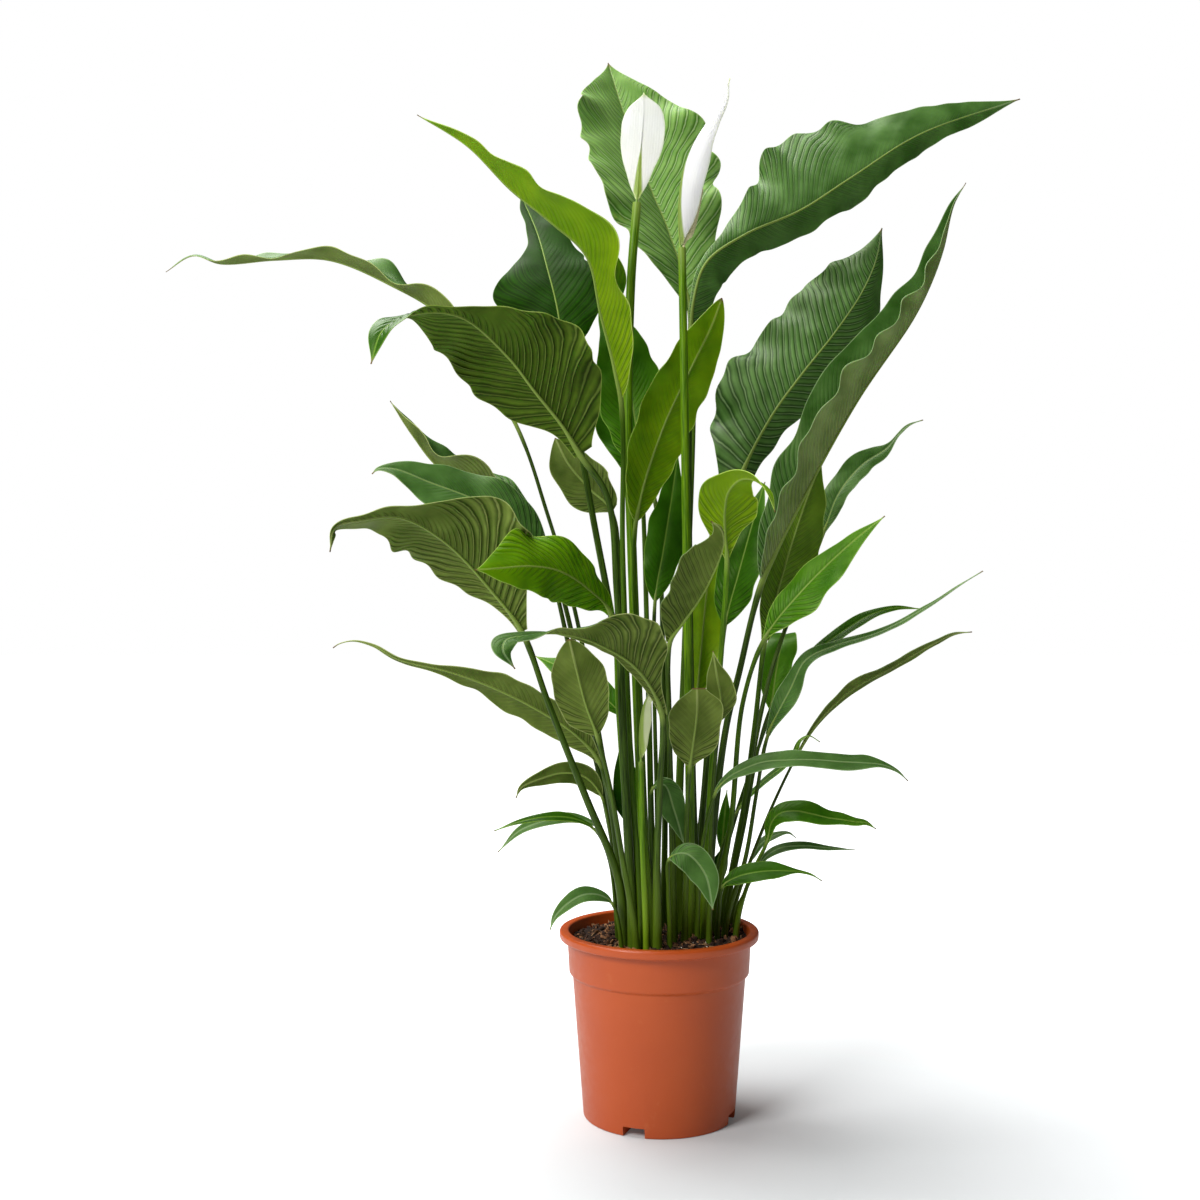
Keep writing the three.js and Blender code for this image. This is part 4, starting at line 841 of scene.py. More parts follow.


# Each set has its name in the tables, its leaf in the materials' names, the colours, roughness, contrast and
# translucency of its upper skin and of its underside, and its stalk's colours. A skin's third colour is the
# shade painted in the grooves beside its veins. Dark is a mature leaf, green and bright ever younger ones,
# olive
# an old one. Deep is darker: painted shade, for a leaf in the shade of others. Dusty is lighter and greyer:
# painted sheen, the whitish shine of the light on a leaf.
TONES = {
    tone: [
        leaf_skin(f"{kind} leaf, upper skin", *upper),
        leaf_skin(f"{kind} leaf, underside", *under),
        stalk_skin(f"{kind} leaf stalk", *stalk),
    ]
    for tone, kind, upper, under, stalk in [
        ("dark", "mature", ("#1b3f04", "#3a6a0c", "#0e2902", "#5f8a2c", "#7fa63a", 0.34, 0.85, 0.08),
         ("#2c3f08", "#566d1e", "#182604", "#76893c", "#9db053", 0.5, 0.75, 0.08),
         ("#4f6710", "#1f3404", "#415c12")),
        ("green", "grown", ("#2c5c06", "#558614", "#1a4003", "#86ac3e", "#9dc053", 0.37, 0.8, 0.12),
         ("#3d590c", "#708c28", "#263a05", "#9db254", "#b2c767", 0.5, 0.9, 0.12),
         ("#617e16", "#2c4804", "#527412")),
        ("bright", "young", ("#446f02", "#6f9806", "#305402", "#9abd38", "#b8d060", 0.38, 0.7, 0.2),
         ("#547602", "#7f9c0c", "#3f5c02", "#a8bf44", "#c0d26c", 0.46, 0.7, 0.2),
         ("#769618", "#3f6602", "#668e0e")),
        ("olive", "old", ("#294a16", "#54783a", "#18330c", "#84a06a", "#97b07c", 0.38, 0.85, 0.08),
         ("#3a4a12", "#70803a", "#232f08", "#949f58", "#b4be78", 0.55, 0.75, 0.08),
         ("#566e12", "#263a06", "#4a6418")),
        # Painted shade: a darker copy for a leaf that lies in the shade of others.
        ("deep", "shaded", ("#0c2a00", "#1f4a00", "#082000", "#35620c", "#4c7a18", 0.6, 0.5, 0.06),
         ("#1a3c02", "#32600a", "#123000", "#4c7a1a", "#5f8c24", 0.5, 0.6, 0.06),
         ("#4f6710", "#1f3404", "#415c12")),
        # Painted sheen: lighter and greyer colours for the whitish shine of the light on a leaf.
        ("dusty", "dusty", ("#547d30", "#87a95e", "#3c621e", "#b4cb90", "#c2d89c", 0.42, 0.9, 0.15),
         ("#5f7036", "#93a164", "#3c4a1c", "#b9c493", "#c4cf9e", 0.5, 0.85, 0.15),
         ("#6a8418", "#3c5a0c", "#5c7c1c")),
    ]
}

# What a leaf has unless its row says otherwise: how far its halves are lifted and curled, in degrees, the
# height of its waves as a share of its half width and their number, its outline's rise and fall, its fine
# waves, scallops and dents, and how much its stalk widens at the soil.
LEAF_USUAL = dict(
    lift=(14, 14), curl=20, wave=(0.05, 2.5), outline=(0.8, 1.25), phase=0,
    ruffle=0.1, scallop=0.05, crumple=0.4, flare=0.35,
)
TOP, UNDER, STALK = range(3)

# In a leaf's row, root is the stalk's foot in the soil [x, y], stem and blade are points [across, up, back]
# up the stalk and along the midrib, and face is where the upper side looks, from foot to tip. Reach holds
# the widths of the left and the right half at even steps, in one list where they are alike. Veins and depth,
# where given, are the spacing of the side veins and the depth of the quilting, in millimetres.


def blade_slots(rows, around):
    """Which material each face of a blade has: its upper skin, or the underside and the thin ends."""
    walls = np.where(np.arange(around) < around // 2, TOP, UNDER)
    return np.concatenate([np.tile(walls, rows - 1), np.full(2 * (around // 2 - 1), UNDER)])


def joined(name, parts, materials):
    """One piece from parts of (rings, material slots, {name: values})."""
    points, faces, slots, maps = [], [], [], {}
    for rings, part_slots, values in parts:
        start = sum(map(len, points))
        points.append(rings.reshape(-1, 3))
        faces.append(ring_faces(*rings.shape[:2], start))
        slots.append(part_slots)
        for key, value in values.items():
            maps.setdefault(key, []).append((start, value.reshape(-1, 3)))
    points = np.concatenate(points)
    filled = {}
    for key, stretches in maps.items():
        filled[key] = np.zeros_like(points)
        for start, value in stretches:
            filled[key][start : start + len(value)] = value
    return new_piece(name, points, np.concatenate(faces), materials, np.concatenate(slots), **filled)


def leaf_parts(leaf, along, start, length, draw, thickness, sides):
    """The blade and the stalk of a leaf, as parts to join."""
    blade, vein_map, leaf_map = blade_rings(leaf, along, start, length, draw, thickness)
    stalk, grain, life = stalk_rings(leaf, along, start, length, draw, sides)
    stalk_slots = np.full(len(ring_faces(*stalk.shape[:2])), STALK)
    return [
        (blade, blade_slots(*blade.shape[:2]), {"vein_map": vein_map, "leaf_map": leaf_map}),
        (stalk, stalk_slots, {"grain": grain, "life": life}),
    ]


def grow(leaves):
    """Makes each leaf of a table in place of its node. A row's skin and under take other tones' skins."""
    for name, row in leaves.items():
        leaf = {**LEAF_USUAL, **row}
        radius = min(LEAST_STALK_RADIUS + RADIUS_PER_WIDTH * leaf["width"], MOST_STALK_RADIUS)
        leaf.setdefault("radius", radius)
        draw = np.random.default_rng(sum(map(ord, name)) * 31 + len(leaf["blade"]))
        path = rooted(leaf["root"], [sighted(p) for p in [*leaf["stem"], leaf["blade"][0]]])
        along, run = follow([*path, *map(sighted, leaf["blade"][1:])])
        start = run[len(path) - 1]
        sides = 20 if leaf["radius"] > 3 else 12
        parts = leaf_parts(leaf, along, start, run[-1] - start, draw, LEAF_THICKNESS, sides)
        skin = leaf.get("skin", leaf["tone"])
        upper, under = TONES[skin], TONES[leaf.get("under", skin)]
        piece = joined(f"{name}_grown", parts, [upper[TOP], under[UNDER], upper[STALK]])
        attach(piece, "root")
        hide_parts(name)


grow({
    "leaf_centre_1": dict(
        root=[21, 8], stem=[[20, 300, 32], [28, 520, 64]], width=162, tone="green", skin="dusty", depth=0.5,
        blade=[[31, 800, 100], [9, 882, 122], [-7, 920, 136], [-23, 964, 152], [-38, 1007, 170],
            [-51, 1049, 188]],
        face=[[-0.1, -0.95, 0.3]], lift=[56, 8, 50, 8], phase=1,
        reach=[[4, 46, 74, 76, 74, 52, 0], [4, 38, 62, 78, 76, 44, 0]],
    ),
    "leaf_right_1": dict(
        root=[40, 1], stem=[[34, 300, 8], [30, 560, 18]], width=145, tone="dark", skin="olive", depth=0.4,
            veins=6.6,
        blade=[[31, 762, 24], [34, 812, 30], [47, 850, 36], [86, 878, 48], [141, 902, 62], [191, 934, 76],
            [261, 978, 94], [361, 1013, 118]],
        face=[[-0.5, -0.85, 0.08], [-0.2, -0.9, 0.3]], lift=[4, -50, 4, -30],
        reach=[[3, 4, 14, 54, 92, 76, 40, 21, 0], [8, 26, 28, 27, 27, 24, 18, 12, 0]],
    ),
    "leaf_right_2": dict(
        root=[32, 38], stem=[[44, 300, 50], [60, 500, 60]], width=150, tone="dark", skin="olive", depth=0.85,
        blade=[[80, 630, 66], [111, 694, 76], [141, 736, 88], [176, 780, 104], [203, 820, 120],
            [217, 852, 134], [223, 884, 146]],
        face=[[-0.35, -0.85, 0.3]], lift=[4, -45, 8, -45], phase=2,
        reach=[[24, 66, 78, 72, 70, 50, 0], [14, 22, 34, 42, 40, 17, 0]],
    ),
    "leaf_right_3": dict(
        root=[50, 18], stem=[[51, 250, 10], [66, 380, -4], [80, 440, -8]], width=84, radius=4.8, tone="olive",
            under="dusty", depth=1.2,
        blade=[[103, 530, -10], [142, 612, -8], [198, 712, -4], [253, 792, 4], [271, 827, 8], [284, 862, 12],
            [295, 907, 18], [307, 929, 22]],
        face=[[-0.9, -0.1, 0.45]], lift=[78, 58, 84, 34], curl=10,
    ),
    "leaf_right_4": dict(
        root=[66, 41], stem=[[84, 300, 54], [112, 440, 70]], width=50, tone="dark", skin="olive",
        blade=[[164, 578, 88], [180, 619, 96], [203, 647, 106], [228, 664, 114], [240, 678, 120],
            [250, 687, 124], [264, 692, 128]],
        face=[[-0.4, -0.8, 0.4]],
        reach=[[2, 12, 16, 17, 16, 11, 3, 2, 0], [2, 9, 12, 13, 13, 10, 3, 2, 0]],
    ),
    "leaf_right_5": dict(
        root=[52, 6], stem=[[72, 290, -8], [84, 410, -20]], width=62, tone="bright", skin="green",
        blade=[[106, 474, -28], [141, 519, -34], [191, 568, -40], [226, 596, -44]],
        face=[[-0.5, -0.75, 0.4]], wave=[0.08, 2.5],
        reach=[[3, 14, 19, 16, 12, 6, 0], [3, 18, 26, 25, 18, 8, 0]],
    ),
    "leaf_right_6": dict(
        root=[60, 27], stem=[[78, 260, 30], [95, 380, 32]], width=74, tone="olive", skin="green",
        blade=[[106, 472, 34], [116, 512, 36], [131, 563, 38], [147, 611, 40], [163, 654, 44]],
        face=[[-0.2, 0.95, 0.2]], lift=[12, 12],
        reach=[[4, 22, 30, 33, 29, 17, 0], [4, 14, 20, 22, 20, 10, 0]],
    ),
    "leaf_right_7": dict(
        root=[64, 14], stem=[[84, 280, 14], [110, 400, 14]], width=16, tone="dark",
        blade=[[139, 444, 16], [161, 464, 18], [186, 482, 20], [211, 497, 22], [236, 504, 26],
            [263, 503, 30]],
        face=[[-0.4, -0.7, 0.6]],
    ),
    "leaf_right_8": dict(
        root=[62, 2], stem=[[86, 252, -2], [98, 322, -6]], width=36, tone="bright", skin="olive",
        blade=[[109, 377, -10], [131, 422, -12], [147, 452, -14], [175, 466, -14], [221, 480, -14],
            [271, 507, -12], [301, 527, -10], [324, 541, -8]],
        face=[[-0.6, -0.7, 0.4], [-0.2, -0.5, 0.8]],
        reach=[[3, 12, 10, 7, 5, 4, 3, 1.5, 0], [3, 13, 11, 7, 5, 4, 3, 1.5, 0]],
    ),
    "leaf_right_9": dict(
        root=[70, 31], stem=[[94, 258, 44], [116, 312, 52]], width=15, tone="olive",
        blade=[[141, 362, 60], [160, 391, 64], [191, 421, 68], [236, 446, 74], [278, 470, 80], [295, 478, 83],
            [313, 480, 86]],
        face=[[-0.3, 0.8, 0.5]],
        reach=[[2, 3, 5, 6, 6, 5, 4, 3, 0], [2, 4, 7, 9, 8, 7, 5, 3, 0]],
    ),
    "leaf_right_10": dict(
        root=[51, 62], stem=[[78, 300, 80]], width=36, tone="green",
        blade=[[111, 402, 88], [117, 440, 94], [123, 470, 106], [128, 478, 132], [132, 466, 156]],
        face=[[-0.2, -0.95, 0.3], [0, 0, 1]],
    ),
    "leaf_right_11": dict(
        root=[36, -23], stem=[[41, 250, -38]], width=26, tone="green", skin="olive",
        blade=[[57, 320, -54], [69, 334, -56], [85, 343, -58], [105, 350, -60], [131, 352, -63],
            [158, 352, -65], [184, 350, -67], [205, 349, -70], [223, 347, -72], [238, 341, -73],
            [249, 331, -74]],
        face=[[-0.5, -0.5, 0.6], [0, -0.4, 0.9]],
        reach=[[3, 7, 11, 12, 12, 13, 12, 5, 0]],
    ),
    "leaf_right_12": dict(
        root=[74, 4], stem=[[92, 236, 4]], width=30, tone="green",
        blade=[[108, 270, 2], [113, 290, 1], [122, 299, 0], [137, 301, -2], [153, 298, -4], [170, 294, -6],
            [185, 292, -8], [197, 290, -9], [207, 289, -10], [217, 283, -11]],
        face=[[-0.5, -0.5, 0.5], [0, -0.5, 0.85]],
        reach=[[3, 7, 12, 15, 14, 10, 8, 5, 0]],
    ),
    "leaf_right_13": dict(
        root=[74, 18], stem=[[84, 216, 20]], width=14, tone="olive",
        blade=[[98, 243, 22], [108, 256, 23], [122, 264, 24], [145, 266, 26], [169, 264, 27], [196, 262, 28]],
        face=[[-0.5, -0.4, 0.6], [0, -0.4, 0.9]],
    ),
    "leaf_right_14": dict(
        root=[59, 50], stem=[[76, 222, 57]], width=12, tone="olive",
        blade=[[91, 250, 62], [103, 269, 64], [120, 278, 66], [130, 279, 67], [137, 274, 68]],
        face=[[-0.5, -0.4, 0.6], [0, -0.4, 0.9]],
    ),
    "leaf_right_15": dict(
        root=[56, -10], stem=[], width=24, tone="dark",
        blade=[[64, 226, -16], [78, 235, -18], [93, 239, -20], [110, 241, -21], [127, 241, -23],
            [142, 240, -25], [153, 237, -26], [163, 231, -28]],
        face=[[-0.5, -0.5, 0.5], [0, -0.45, 0.9]],
        reach=[[3, 9, 12, 13, 12, 8, 3, 1.5, 0]],
    ),
    "leaf_right_16": dict(
        root=[50, 40], stem=[], width=18, tone="dark",
        blade=[[55, 226, 42], [60, 244, 44], [66, 264, 48]],
        face=[[-0.2, -0.9, 0.3]], outline=[0.8, 0.8],
    ),
    "leaf_right_17": dict(
        root=[40, 26], stem=[[44, 300, 28], [57, 400, 25]], width=50, tone="dark",
        blade=[[66, 486, 22], [80, 540, 20], [96, 597, 20], [106, 630, 24]],
        face=[[-0.5, -0.8, 0.2]],
    ),
    # A narrow upright leaf and a grass-like one among the right-hand stalks.
    "leaf_right_18": dict(
        root=[46, 52], stem=[], width=14, tone="green",
        blade=[[62, 262, 58], [65, 290, 60], [68, 322, 64]],
        face=[[-0.2, -0.9, 0.3]],
    ),
    "leaf_right_19": dict(
        root=[50, 29], stem=[[62, 260, 36]], width=10, tone="green",
        blade=[[78, 300, 40], [101, 327, 43], [133, 354, 46], [141, 371, 48], [150, 376, 50], [161, 370, 52]],
        face=[[-0.5, -0.4, 0.6], [0, -0.4, 0.9]],
    ),
})

# ---------------------------------------------------------------- leaves in the middle
# The leaves round the blooms' stalks, one of them young and bright, and small ones close to the soil. They
# hang in front of the crown, and several show their underside.
grow({
    "leaf_centre_2": dict(
        root=[28, 16], stem=[[33, 300, 21]], width=40, tone="bright",
        blade=[[38, 412, 32], [43, 470, 36], [50, 540, 40], [60, 600, 46]],
        face=[[0.2, 0.95, 0.1]],
    ),
    "leaf_centre_3": dict(
        root=[14, -14], stem=[[13, 280, -24], [10, 400, -40]], width=74, tone="olive",
        blade=[[11, 470, -56], [22, 487, -68], [35, 505, -82], [46, 522, -94], [54, 538, -104],
            [61, 554, -112], [65, 570, -120], [62, 583, -126], [52, 591, -130]],
        face=[[-0.3, 0.8, 0.5]], lift=[84, 8, 70, 8], curl=10,
        reach=[[2, 8, 12, 13, 11, 7, 0], [4, 24, 33, 37, 36, 25, 0]],
    ),
    "leaf_centre_4": dict(
        root=[42, -11], stem=[[52, 330, -22], [63, 470, -38]], width=74, tone="bright",
        blade=[[68, 552, -60], [66, 580, -70], [66, 602, -84], [70, 621, -104], [83, 633, -126],
            [99, 630, -146], [110, 618, -158], [116, 600, -166]],
        face=[[0, 0.9, 0.3], [0.2, 0.5, 0.8], [0.5, -0.5, 0.6]], lift=[20, 24],
        reach=[[2, 13, 28, 31, 22, 13, 9, 5, 0], [2, 13, 25, 28, 20, 13, 9, 5, 0]],
    ),
    "leaf_centre_5": dict(
        root=[24, -24], stem=[[27, 240, -40], [28, 300, -54]], width=50, tone="olive", depth=0.35, veins=5.4,
        blade=[[31, 346, -68], [35, 374, -76], [38, 400, -81], [38, 424, -80]],
        face=[[-0.1, 0.95, 0.2], [0, 0.8, 0.5]],
        reach=[[4, 17, 24, 25, 25, 22, 8], [4, 17, 24, 25, 25, 20, 4]],
    ),
    "leaf_centre_6": dict(
        root=[48, -21], stem=[[54, 320, -34]], width=30, tone="olive",
        blade=[[60, 390, -48], [62, 412, -53], [58, 436, -58], [54, 461, -62]],
        face=[[-0.2, 0.9, 0.3], [0.6, 0.6, 0.3]], wave=[0.2, 2],
    ),
    "leaf_centre_7": dict(
        root=[9, -43], stem=[[9, 222, -60]], width=31, tone="green", skin="olive",
        blade=[[11, 254, -82], [28, 258, -96], [46, 238, -104], [54, 202, -108]],
        face=[[-0.2, -0.6, 0.8], [-0.1, -0.9, 0.3]],
        reach=[[3, 11, 14, 13, 11, 6, 0], [3, 13, 17, 16, 12, 6, 0]],
    ),
    "leaf_centre_8": dict(
        root=[-7, -38], stem=[[-16, 300, -38], [-22, 460, -32]], width=60, tone="bright",
        blade=[[-23, 590, -24], [2, 679, -14], [31, 742, -8], [52, 785, -6], [63, 814, -6]],
        face=[[-0.3, 0.9, 0.2]], lift=[14, 14], outline=[0.7, 0.75],
    ),
    "leaf_centre_9": dict(
        root=[1, 10], stem=[[-2, 300, 24]], width=40, tone="dark",
        blade=[[-4, 510, 44], [4, 560, 48], [12, 610, 54], [19, 660, 62]],
        face=[[0, -0.95, 0.2]],
    ),
    "leaf_centre_10": dict(
        root=[-3, -26], stem=[[-8, 280, -38]], width=26, tone="olive",
        blade=[[-6, 324, -46], [5, 327, -48], [15, 302, -44], [25, 268, -36]],
        face=[[0, -0.5, 0.8], [-0.1, -0.9, 0.3]],
    ),
})

# ---------------------------------------------------------------- leaves of the left-hand side
# The left-hand crown, from the longest leaves down to the lowest: arching ribbons, and broad leaves that
# show their ribbed underside.
grow({
    "leaf_left_1": dict(
        root=[-16, -44], stem=[[-27, 330, -46], [-36, 560, -42]], width=86, tone="bright",
        blade=[[-38, 712, -38], [-58, 800, -38], [-72, 856, -40], [-108, 890, -44], [-148, 922, -48],
            [-192, 966, -54], [-242, 997, -60]],
        face=[[1, 0, 0.3], [0.5, 0, 0.85]], lift=[50, 50, 30, 30], curl=10,
    ),
    "leaf_left_2": dict(
        root=[-26, -42], stem=[[-34, 330, -54], [-42, 520, -60], [-52, 616, -68]], width=118, tone="olive",
            skin="dark", depth=1.9,
        blade=[[-79, 657, -78], [-97, 686, -88], [-124, 720, -104], [-152, 756, -120], [-198, 795, -146],
            [-244, 798, -168], [-276, 782, -184], [-288, 748, -194]],
        face=[[-0.3, 0.85, 0.4], [-0.35, 0.7, 0.6], [-0.35, 0.2, 0.9], [-0.3, -0.75, 0.55]],
            lift=[14, 20, 10, 20],
        reach=[[14, 50, 66, 62, 36, 14, 12, 14, 0], [6, 14, 38, 47, 50, 52, 30, 16, 0]],
    ),
    "leaf_left_3": dict(
        root=[-33, -14], stem=[[-49, 312, -12], [-84, 502, -4], [-112, 600, 2]], width=50, tone="olive",
        blade=[[-143, 687, 8], [-213, 792, 22], [-270, 828, 34], [-330, 852, 46], [-384, 852, 56],
            [-438, 848, 66], [-466, 856, 72], [-493, 840, 78]],
        face=[[0.6, 0, 0.8], [0.1, -0.3, 0.95]], lift=[50, 50, 20, 20], wave=[0.25, 4], outline=[0.7, 1],
    ),
    "leaf_left_4": dict(
        root=[-21, 3], stem=[[-28, 300, 22], [-42, 460, 30], [-67, 600, 36]], width=112, tone="dark",
            skin="deep", depth=0.3,
        blade=[[-94, 752, 42], [-102, 805, 54], [-112, 845, 76], [-122, 880, 108], [-139, 919, 150]],
        face=[[0.1, -0.9, 0.4], [0, -0.6, 0.8]], lift=[8, 8],
        reach=[[4, 36, 54, 60, 34, 14, 10, 8, 0], [4, 30, 46, 50, 46, 34, 20, 9, 0]],
    ),
    "leaf_left_5": dict(
        root=[-33, -35], stem=[[-42, 238, -40], [-72, 312, -48], [-110, 407, -52]], width=98, tone="olive",
            depth=1.9,
        blade=[[-137, 480, -50], [-165, 518, -58], [-213, 569, -84], [-258, 594, -110], [-300, 591, -134],
            [-324, 584, -150], [-329, 560, -158]],
        face=[[-0.2, 0.9, 0.3], [-0.2, 0.6, 0.7]], lift=[6, 42, 10, 30],
        reach=[[6, 30, 58, 70, 47, 20, 9, 5, 0], [4, 10, 26, 41, 45, 39, 23, 11, 0]],
    ),
    "leaf_left_6": dict(
        root=[-34, 22], stem=[[-46, 270, 34], [-84, 440, 48]], width=70, tone="olive",
        blade=[[-126, 584, 56], [-176, 624, 62], [-219, 644, 66], [-246, 676, 70], [-269, 711, 74]],
        face=[[0.5, -0.1, 0.85]], lift=[46, 46],
    ),
    "leaf_left_7": dict(
        root=[-31, -3], stem=[[-42, 270, -4], [-76, 430, -4]], width=68, tone="dark", skin="olive",
        blade=[[-112, 556, -8], [-150, 596, -14], [-190, 615, -18], [-230, 630, -22], [-264, 643, -26],
            [-281, 643, -28], [-287, 638, -29]],
        face=[[0.1, -0.8, 0.6]], lift=[10, 10], outline=[1, 1.3],
    ),
    "leaf_left_8": dict(
        root=[-4, -51], stem=[[-2, 250, -66], [1, 330, -82]], width=92, tone="olive",
        blade=[[3, 396, -98], [-9, 426, -108], [-27, 448, -122], [-54, 465, -142], [-79, 475, -160],
            [-104, 479, -176], [-129, 477, -192], [-153, 472, -204], [-156, 461, -212], [-144, 443, -216]],
        face=[[-0.2, 0.85, 0.4], [-0.2, 0.5, 0.8], [0, -0.6, 0.8]], lift=[6, 50, 10, 10],
        reach=[[5, 11, 36, 54, 38, 24, 16, 13, 0], [3, 8, 10, 10, 8, 8, 9, 12, 0]],
    ),
    "leaf_left_9": dict(
        root=[-22, -54], stem=[[-36, 250, -68], [-48, 320, -76]], width=54, tone="olive", depth=0.6, veins=6,
        blade=[[-62, 376, -80], [-73, 406, -87], [-82, 440, -92], [-90, 473, -96]],
        face=[[-0.2, 0.95, 0.2]], outline=[0.75, 0.75],
    ),
    "leaf_left_10": dict(
        root=[-28, -25], stem=[[-38, 260, -22]], width=62, tone="olive",
        blade=[[-60, 350, -16], [-84, 378, -18], [-119, 401, -22], [-165, 424, -28], [-209, 440, -34],
            [-262, 453, -40], [-285, 466, -43], [-305, 471, -45], [-320, 468, -47], [-326, 464, -48]],
        face=[[-0.3, 0.8, 0.5], [-0.2, 0.5, 0.8]],
        reach=[[3, 13, 18, 20, 15, 6, 4, 2, 0], [3, 16, 20, 20, 14, 7, 4, 2, 0]],
    ),
    "leaf_left_11": dict(
        root=[-28, 12], stem=[[-46, 264, 14]], width=24, tone="olive",
        blade=[[-57, 315, 14], [-74, 335, 12], [-96, 339, 8], [-119, 333, 4], [-138, 324, 1], [-143, 314, 0]],
        face=[[-0.3, 0.9, 0.3]],
    ),
    "leaf_left_12": dict(
        root=[-40, -6], stem=[[-50, 252, -14]], width=12, tone="dark",
        blade=[[-64, 282, -22], [-84, 293, -28], [-112, 295, -36], [-140, 290, -42], [-165, 281, -48]],
        face=[[0.4, -0.5, 0.7], [0, -0.5, 0.85]],
    ),
    "leaf_left_13": dict(
        root=[-38, 5], stem=[[-48, 256, 6]], width=16, tone="olive",
        blade=[[-60, 284, 6], [-86, 294, 2], [-109, 292, -2], [-138, 282, -6], [-161, 260, -10]],
        face=[[0.4, -0.5, 0.7], [0, -0.5, 0.85]],
    ),
    "leaf_left_14": dict(
        root=[-36, -47], stem=[], width=18, tone="green", skin="olive",
        blade=[[-47, 209, -56], [-60, 217, -60], [-76, 217, -65], [-92, 208, -70], [-104, 195, -75],
            [-109, 182, -78]],
        face=[[0.3, -0.6, 0.7], [-0.2, -0.7, 0.7]],
    ),
    # The lowest dark leaf between the left-hand stalks, and the pair on the far side of the bright one.
    "leaf_left_15": dict(
        root=[-12, -6], stem=[], width=30, tone="dark",
        blade=[[-26, 284, 2], [-32, 325, 6], [-38, 372, 12]],
        face=[[0.1, -0.95, 0.2]],
    ),
    "leaf_left_16": dict(
        root=[-22, -14], stem=[[-32, 290, -24], [-40, 400, -34]], width=92, tone="dark", skin="bright",
        blade=[[-48, 498, -46], [-69, 522, -67], [-99, 541, -93], [-129, 546, -114], [-159, 544, -130],
            [-184, 542, -142]],
        face=[[0.1, -0.85, 0.5]], lift=[-25, 6, -20, 6],
        reach=[[4, 18, 26, 29, 24, 15, 0], [4, 22, 34, 42, 42, 22, 0]],
    ),
})

# ---------------------------------------------------------------- leaves of the far side
# Leaves behind the crowns, which show between the stalks from in front. They stand nearly upright on bare
# stalks and lean away to the back.
grow({
    "leaf_back_1": dict(
        root=[-4, 24], stem=[[-8, 300, 48], [-12, 480, 84]], width=72, tone="green",
        blade=[[-18, 640, 116], [-26, 705, 128], [-38, 765, 142], [-62, 818, 164]],
        face=[[0, -0.95, 0.3]],
    ),
    "leaf_back_2": dict(
        root=[6, 37], stem=[[6, 300, 70], [4, 460, 118]], width=64, tone="dark",
        blade=[[-6, 620, 164], [-32, 676, 182], [-56, 714, 204], [-78, 738, 232]],
        face=[[0.2, -0.85, 0.5]],
    ),
    "leaf_back_3": dict(
        root=[-12, 12], stem=[[-24, 300, 30]], width=42, tone="green",
        blade=[[-38, 396, 48], [-70, 424, 66], [-100, 445, 84], [-124, 456, 102]],
        face=[[0.3, -0.7, 0.6]],
    ),
    "leaf_back_4": dict(
        root=[-18, 25], stem=[[-26, 330, 54], [-38, 480, 64]], width=52, tone="olive",
        blade=[[-47, 600, 72], [-68, 622, 80], [-90, 647, 88], [-104, 674, 98]],
        face=[[-0.3, 0.8, 0.5]], outline=[0.7, 0.9],
    ),
})

# ---------------------------------------------------------------- blooms
# A smooth stalk carries a white spathe, a single waxy leaf turned into a hood, and the spadix inside it,
# a finger set with tiny florets in crossing spirals. The youngest spathe is still rolled and has none yet.
BLOOM_STALK_FLARE = 1.25
SEAT_OFFSET = 1.8
SEAT_RISE = 3
HOOD_NECK_RADIUS = 1.5
SPADIX_BASE_RADIUS = 1.4
SPADIX_STIPE = 0.12
SPADIX_SWELL = 20
FLORET_HEIGHT = 0.7
FLORET_SPIRALS = 7
FLORET_SPACING = 4.4
SPATHE_THICKNESS = 0.8
SPATHE_RIB_SPACING = 2.618
WEDGE_HALF_WIDTHS = (6, 0.7)
# Pollen is too fine to show, so its specks are drawn coarser.
POLLEN_SIZE = 1.2

# In a bloom's row, hood and spike are points along the spathe's midrib and the spadix, and front is the side
# on which the spadix stands. The rest is as in a leaf's row.
BLOOMS = {
    "bloom_left": dict(
        root=[-12, -22], radius=4.4, front=[0.1, 1, 0],
        stem=[[-20, 380, -12], [-27, 560, 0], [-31, 700, 6], [-28, 830, 8], [-22, 909, 10]],
        hood=[[-20, 940, 13], [-17, 972, 18], [-15, 1000, 21], [-15, 1019, 20]],
        width=44, face=[[0.1, 0.97, 0.2], [0.1, 0.9, -0.3]], lift=[0, 0], curl=-10,
        reach=[[2, 8, 13, 18, 21, 22, 22, 16, 0]],
        spike=[[-20, 929, 19], [-13, 966, 39]], spike_radius=5,
    ),
    "bloom_right": dict(
        root=[30, -12], radius=3.8, front=[1, 0.35, 0],
        stem=[[31, 300, -24], [29, 470, -30], [27, 600, -34], [25, 740, -36], [23, 864, -36]],
        hood=[[20, 906, -38], [25, 942, -39], [35, 968, -40], [50, 992, -42], [64, 1012, -43],
            [71, 1034, -44]],
        width=50, face=[[0.9, 0.35, -0.25], [0.9, 0.2, -0.3]], lift=[26, 26, 20, 20], curl=-50,
        reach=[[3, 15, 23, 25, 24, 20, 13, 6, 0]],
        spike=[[32, 882, -33], [42, 928, -32]], spike_radius=3.8,
    ),
    "bloom_young": dict(
        root=[-14, -56], radius=2.6, front=[0, 1, 0],
        stem=[[-16, 260, -66], [-18, 350, -72]],
        hood=[[-19, 380, -75], [-15, 408, -79], [-3, 430, -84]],
        width=20, face=[[0.9, 0.3, 0.2], [0.7, 0.3, -0.6]], lift=[64, 64], outline=[0.8, 1.1],
    ),
}


def seat_on(stalk, to_side):
    """Where a bloom's parts stand on the end of its stalk, a little to one side of its middle."""
    along, run = follow(stalk)
    foot, heading = along(run[-1])
    foot = foot + heading * CLEARANCE + square_to(to_side, heading) * SEAT_OFFSET
    return [foot + heading * SEAT_RISE * share for share in (0, 0.5, 1)]


